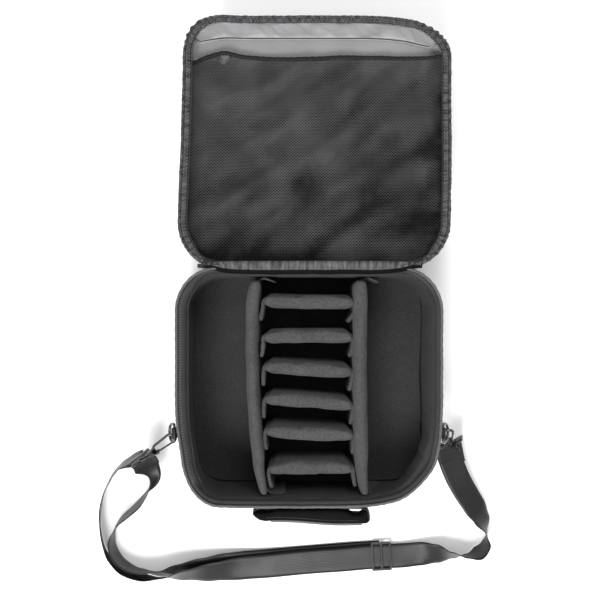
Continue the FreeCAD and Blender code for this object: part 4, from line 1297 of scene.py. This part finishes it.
# Each short divider as it stands: its y, its turn in degrees, where its left and right ends are, and how
# far the tips of its left and right flaps stray to the right.
SHORT_DIVIDERS = [
    (0.1225, -1.0, -0.0640, 0.0650, -0.0040, -0.0110),
    (0.0710, 0.2, -0.0640, 0.0620, -0.0025, -0.0060),
    (0.0255, -3.4, -0.0625, 0.0615, 0.0005, -0.0045),
    (-0.0225, -4.2, -0.0620, 0.0625, 0.0010, -0.0020),
    (-0.0665, -2.8, -0.0610, 0.0630, 0.0035, -0.0005),
    (-0.1180, 0.8, -0.0560, 0.0620, 0.0060, 0.0025),
]


def build_short_divider(number, mesh, placing):
    name = f"short_divider_{number}"
    y, turn, left, right, left_stray, right_stray = placing
    low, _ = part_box(name)
    c, s = math.cos(math.radians(turn)), math.sin(math.radians(turn))
    middle, half = (left + right) / 2, (right - left) / 2
    flip = -1 if number % 2 else 1

    def put(x, dy):
        return middle + (x - middle) * c - dy * s, y + (x - middle) * s + dy * c

    def shape(p):
        share = p.x * flip / 0.064
        hang = 0.0016 * flip * math.cos(math.pi * p.x / 0.14) * between(p.z, 0.02, 0.118)
        soft = 0.0009 * rough((p.x, p.y, p.z + number * 0.3), 0.022, 83.0)
        thick = p.y * flip * 1.38
        chamfer = 0.0042 * between(abs(share), 0.86, 1.03) * between(thick, -0.004, 0.007)
        x, dy = put(middle + share * half, thick + hang + soft - chamfer)
        sag = 0.0018 * rough((p.x, number * 0.37, 0), 0.05, 85.0) * between(p.z, 0.05, 0.118)
        return Vector((x, dy, low.z + p.z + sag))

    divider(name + "_pad", name, mesh, shape)
    tabs_low, tabs_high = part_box(name + "_tabs")
    for side, end, way, stray in (("left", left, -1, left_stray), ("right", right, 1, right_stray)):
        out = end + way * 0.0022
        path = [(end - way * 0.006, 0.0030), (end - way * 0.001, 0.0018), (out, -0.0030), (out, -0.0110),
                (out + 0.3 * stray, -0.0190), (out + 0.7 * stray, -0.0260), (out + stray, -0.0300)]
        tab(f"{name}_{side}_flap", name, [put(*p) for p in path], tabs_low.z, tabs_high.z, 0.0027)


def build_dividers():
    low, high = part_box("left_divider")
    size = high - low
    long_mesh = puffed(Vector((size.x - 0.003, size.y - 0.003, size.z - 0.002)), 0.0045, 0.0045, 0.0022)
    build_long_divider("left_divider", long_mesh, LEFT_BOW, 1.20)
    build_long_divider("right_divider", long_mesh, RIGHT_BOW, 1.40)
    size = Vector((0.1310, 0.0110, 0.1165))
    short_mesh = puffed(size, 0.0042, 0.004, 0.0020)
    for number, placing in enumerate(SHORT_DIVIDERS, start=1):
        build_short_divider(number, short_mesh, placing)


build_dividers()

# ---------------------------------------------------------------- carry handle

HANDLE_Z = (0.108, 0.134)


def flat_path(points, steps=6):
    return smooth_line([Vector((x, y, (HANDLE_Z[0] + HANDLE_Z[1]) / 2)) for x, y in points], steps)


def bar_y(x):
    """The handle's bar sags outwards towards its right end."""
    return -0.1905 - 0.0040 * between(x, -0.05, 0.06) - 0.0006 * math.sin(x / 0.02)


WRAP_FACE = 0.0024          # the wrap's outer face, out from the bar's line
WRAP_BACK_Y = -0.1742
WRAP_MIDDLE_Z = 0.121
WRAP_HALF_TALL = 0.0158


def build_handle():
    wall = -BASE.half_d - 0.0026
    bar = [(x, bar_y(x)) for x in (-0.068, -0.045, -0.02, 0.005, 0.03, 0.055, 0.070)]
    route = [(-0.052, wall), (-0.063, wall), (-0.0735, wall - 0.0006), (-0.0795, wall - 0.0045),
             (-0.0775, wall - 0.0110), (-0.0725, bar_y(-0.08) + 0.003)] + bar
    route += [(0.0815, bar_y(0.08)), (0.0855, bar_y(0.08) + 0.002), (0.0862, wall - 0.0150),
              (0.0850, wall - 0.004), (0.079, wall - 0.0006), (0.066, wall), (0.052, wall)]
    line = flat_path(route)
    webbing = ribbon("handle_strap", line, [UP] * len(line), HANDLE_Z[1] - HANDLE_Z[0], 0.0030, WEBBING)
    dress(webbing, "handle", "webbing", "handle_webbing")

    left, right = -0.0800, 0.0835
    count, size = 64, 26
    rings = []
    for i in range(count + 1):
        share = i / count
        x = left + (right - left) * share
        blunt = min((share + 0.012) / 0.11, 1.0) ** 0.6
        end = max(0.25, min(blunt, min((1 - share) / 0.015, 1.0) ** 0.4))
        pad = 1 + 0.05 * rough((x, 0, 0), 0.02, 91.0)
        waist = 1 - 0.42 * between(x, 0.055, 0.062) * (1 - between(x, 0.074, 0.080))
        outer = bar_y(x) - WRAP_FACE + 0.014 * (1 - blunt)
        inner = WRAP_BACK_Y - 0.0052 * (1 - waist) / 0.42 - 0.0046 * (1 - between(x, -0.060, -0.044))
        inner -= 0.0020 * between(x, 0.040, 0.056)
        ring = []
        for k in range(size):
            a = 2 * math.pi * k / size
            flat_cos = math.copysign(abs(math.cos(a)) ** 0.62, math.cos(a))
            flat_sin = math.copysign(abs(math.sin(a)) ** 0.55, math.sin(a))
            cy = (outer + inner) / 2 + flat_cos * (inner - outer) / 2 * pad
            cz = flat_sin * WRAP_HALF_TALL * (0.9 + 0.1 * end)
            crease = 0.0006 * rough((x * 2, a * 0.01, 0), 0.012, 93.0)
            ring.append(Vector((x, cy + crease, WRAP_MIDDLE_Z + cz + 0.0005 * math.cos(3 * a) * pad)))
        rings.append(ring)
    # the wrap takes the darkened copy of the shell nylon: painted shade
    grip = dress(loft("handle_wrap", rings, SHADED_HANDLE_WRAP), "handle", "shell_fabric", "handle_grip")
    # a pale cord along the handle's top outer edge: its pale grey is painted highlight
    seam = []
    for i in range(count * 2 + 1):
        x = left + 0.026 + (right - left - 0.034) * i / (count * 2)
        seam.append(Vector((x, bar_y(x) - 0.0012, 0.1352)))
    turns = [math.pi * k / 3 for k in range(6)]
    edge_rings = [[p + Vector((0, 0.0019 * math.cos(a), 0.0018 * math.sin(a))) for a in turns] for p in seam]
    dress(loft("handle_seam", edge_rings, HANDLE_EDGE_HIGHLIGHT), "handle", "piping")
    rows = [[Vector((x, bar_y(x) + 0.0042, 0.1370)) for x in (left + 0.02 + 0.002 * k for k in range(68))]]
    stitches("handle_stitches", rows, 0.0026, 0.0014, THREAD, "handle")


BOX_STITCH_PITCH = 0.0034


def box_stitch(name, corner, across, up, body):
    """A stitched box with a cross in it, on the plane of across and up."""
    corners = [corner, corner + across, corner + across + up, corner + up]
    runs = [(0, 1), (1, 2), (2, 3), (3, 0), (0, 2), (1, 3)]
    normal = across.cross(up).normalized()
    points, faces = [], []
    for a, b in runs:
        start, way = corners[a], corners[b] - corners[a]
        count = int(way.length / BOX_STITCH_PITCH)
        for k in range(count):
            p, q = start + way * ((k + 0.12) / count), start + way * ((k + 0.82) / count)
            side = way.normalized().cross(normal) * 0.00035
            add_stitch(points, faces, p, q, side, normal * 0.0004)
    obj = add_mesh(name, points, faces, THREAD)
    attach(obj, body)


def patch(name, node, outward, body="base"):
    """A sewn webbing patch on a wall, a little puffed between its stitches."""
    low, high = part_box(node)
    across = Vector((1, 0, 0)) if abs(outward.y) > 0.5 else Vector((0, 1, 0))
    size = high - low
    wide, tall = abs(size.dot(across)), size.z
    centre = (low + high) / 2
    rings = []
    for i in range(17):
        u = (i / 16 - 0.5) * wide
        top = []
        for k in range(17):
            v = (k / 16 - 0.5) * tall
            puff = 0.0006 * math.cos(math.pi * u / wide) * math.cos(math.pi * v / tall)
            ribs = 0.00012 * math.sin(v / 0.0006)
            top.append(centre + across * u + UP * v + outward * (0.0010 + puff + ribs))
        rings.append(top + [p - outward * 0.0022 for p in reversed(top)])
    dress(loft(name, rings, WEBBING), body, "webbing", node)
    corner = centre - across * (wide * 0.40) - UP * (tall * 0.42) + outward * 0.0016
    box_stitch(name + "_stitches", corner, across * (wide * 0.8), UP * (tall * 0.84), body)


build_handle()
patch("patch_left", "handle_patch_left", Vector((0, -1, 0)))
patch("patch_right", "handle_patch_right", Vector((0, -1, 0)))


def ring_tab(name, side):
    """A webbing loop sewn to the wall with the D-ring's bar in it."""
    node = "web_tab_" + name
    low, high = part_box(node)
    wall = BASE.half_w + 0.0006
    bar_x, bar_z = BASE.half_w + 0.0044, 0.115
    line = [(wall + 0.0008, low.z), (wall + 0.0012, bar_z - 0.014), (wall + 0.0010, bar_z - 0.006),
            (wall + 0.0016, bar_z - 0.0035), (bar_x - 0.0006, bar_z - 0.0034),
            (bar_x + 0.0036, bar_z - 0.0014), (bar_x + 0.0034, bar_z + 0.0026),
            (bar_x - 0.0002, bar_z + 0.0038), (wall + 0.0020, bar_z + 0.0040),
            (wall + 0.0022, bar_z - 0.002), (wall + 0.0028, bar_z - 0.014), (wall + 0.0024, low.z)]
    path = smooth_line([Vector((side * x, (low.y + high.y) / 2, z)) for x, z in line], 6)
    way = Vector((0, 1, 0))
    loop = ribbon("ring_tab_" + name, path, [way] * len(path), high.y - low.y, 0.0013, WEBBING)
    dress(loop, "base", "webbing", node)
    across = Vector((0, -side, 0)) * (high.y - low.y) * 0.7
    corner = Vector((side * (wall + 0.0034), (low.y + high.y) / 2, low.z + 0.003)) - across / 2
    box_stitch(name + "_tab_stitches", corner, across, UP * 0.012, "base")


ring_tab("left", -1)
ring_tab("right", 1)

# ---------------------------------------------------------------- carried-over hardware

for node_name, obj in NODES.items():
    if node_name.startswith(("d_ring", "snap_hook", "hook_gate", "strap_ring")):
        finish = NICKEL
    elif node_name.startswith(("zipper_", "strap_adjuster")):
        finish = LACQUER
    else:
        continue
    obj.data.materials.clear()
    obj.data.materials.append(finish)

# ---------------------------------------------------------------- floor and light


def build_stage():
    size, z = 4.0, -0.0004
    points = [Vector((x * size, y * size, z)) for x, y in ((-1, -1), (1, -1), (1, 1), (-1, 1))]
    paper = Fabric("paper", 0.9, specular=0.1)
    paper.colour((0.88, 0.88, 0.88), (0.9, 0.9, 0.9), paper.noise(0.3))
    floor = add_mesh("floor", points, [(0, 1, 2, 3)], paper.material)


def area_light(name, at, target, size, power):
    light = bpy.data.lights.new(name, "AREA")
    light.shape = "SQUARE"
    light.size = size
    light.energy = power
    holder = bpy.data.objects.new(name, light)
    holder.location = at
    way = Vector(target) - Vector(at)
    holder.rotation_mode = "QUATERNION"
    holder.rotation_quaternion = way.to_track_quat("-Z", "Y")
    link(holder)


def build_light():
    world = bpy.data.worlds.new("studio")
    world.use_nodes = True
    scene.world = world
    background = world.node_tree.nodes["Background"]
    background.inputs["Color"].default_value = (1, 1, 1, 1)
    background.inputs["Strength"].default_value = 0.85
    area_light("front", (-0.55, -1.5, 2.3), (0, 0, 0), 1.1, 105)
    area_light("back", (0.45, 1.5, 2.6), (0, 0.1, 0), 1.1, 30)
    scene.view_settings.view_transform = "Standard"


build_stage()
build_light()
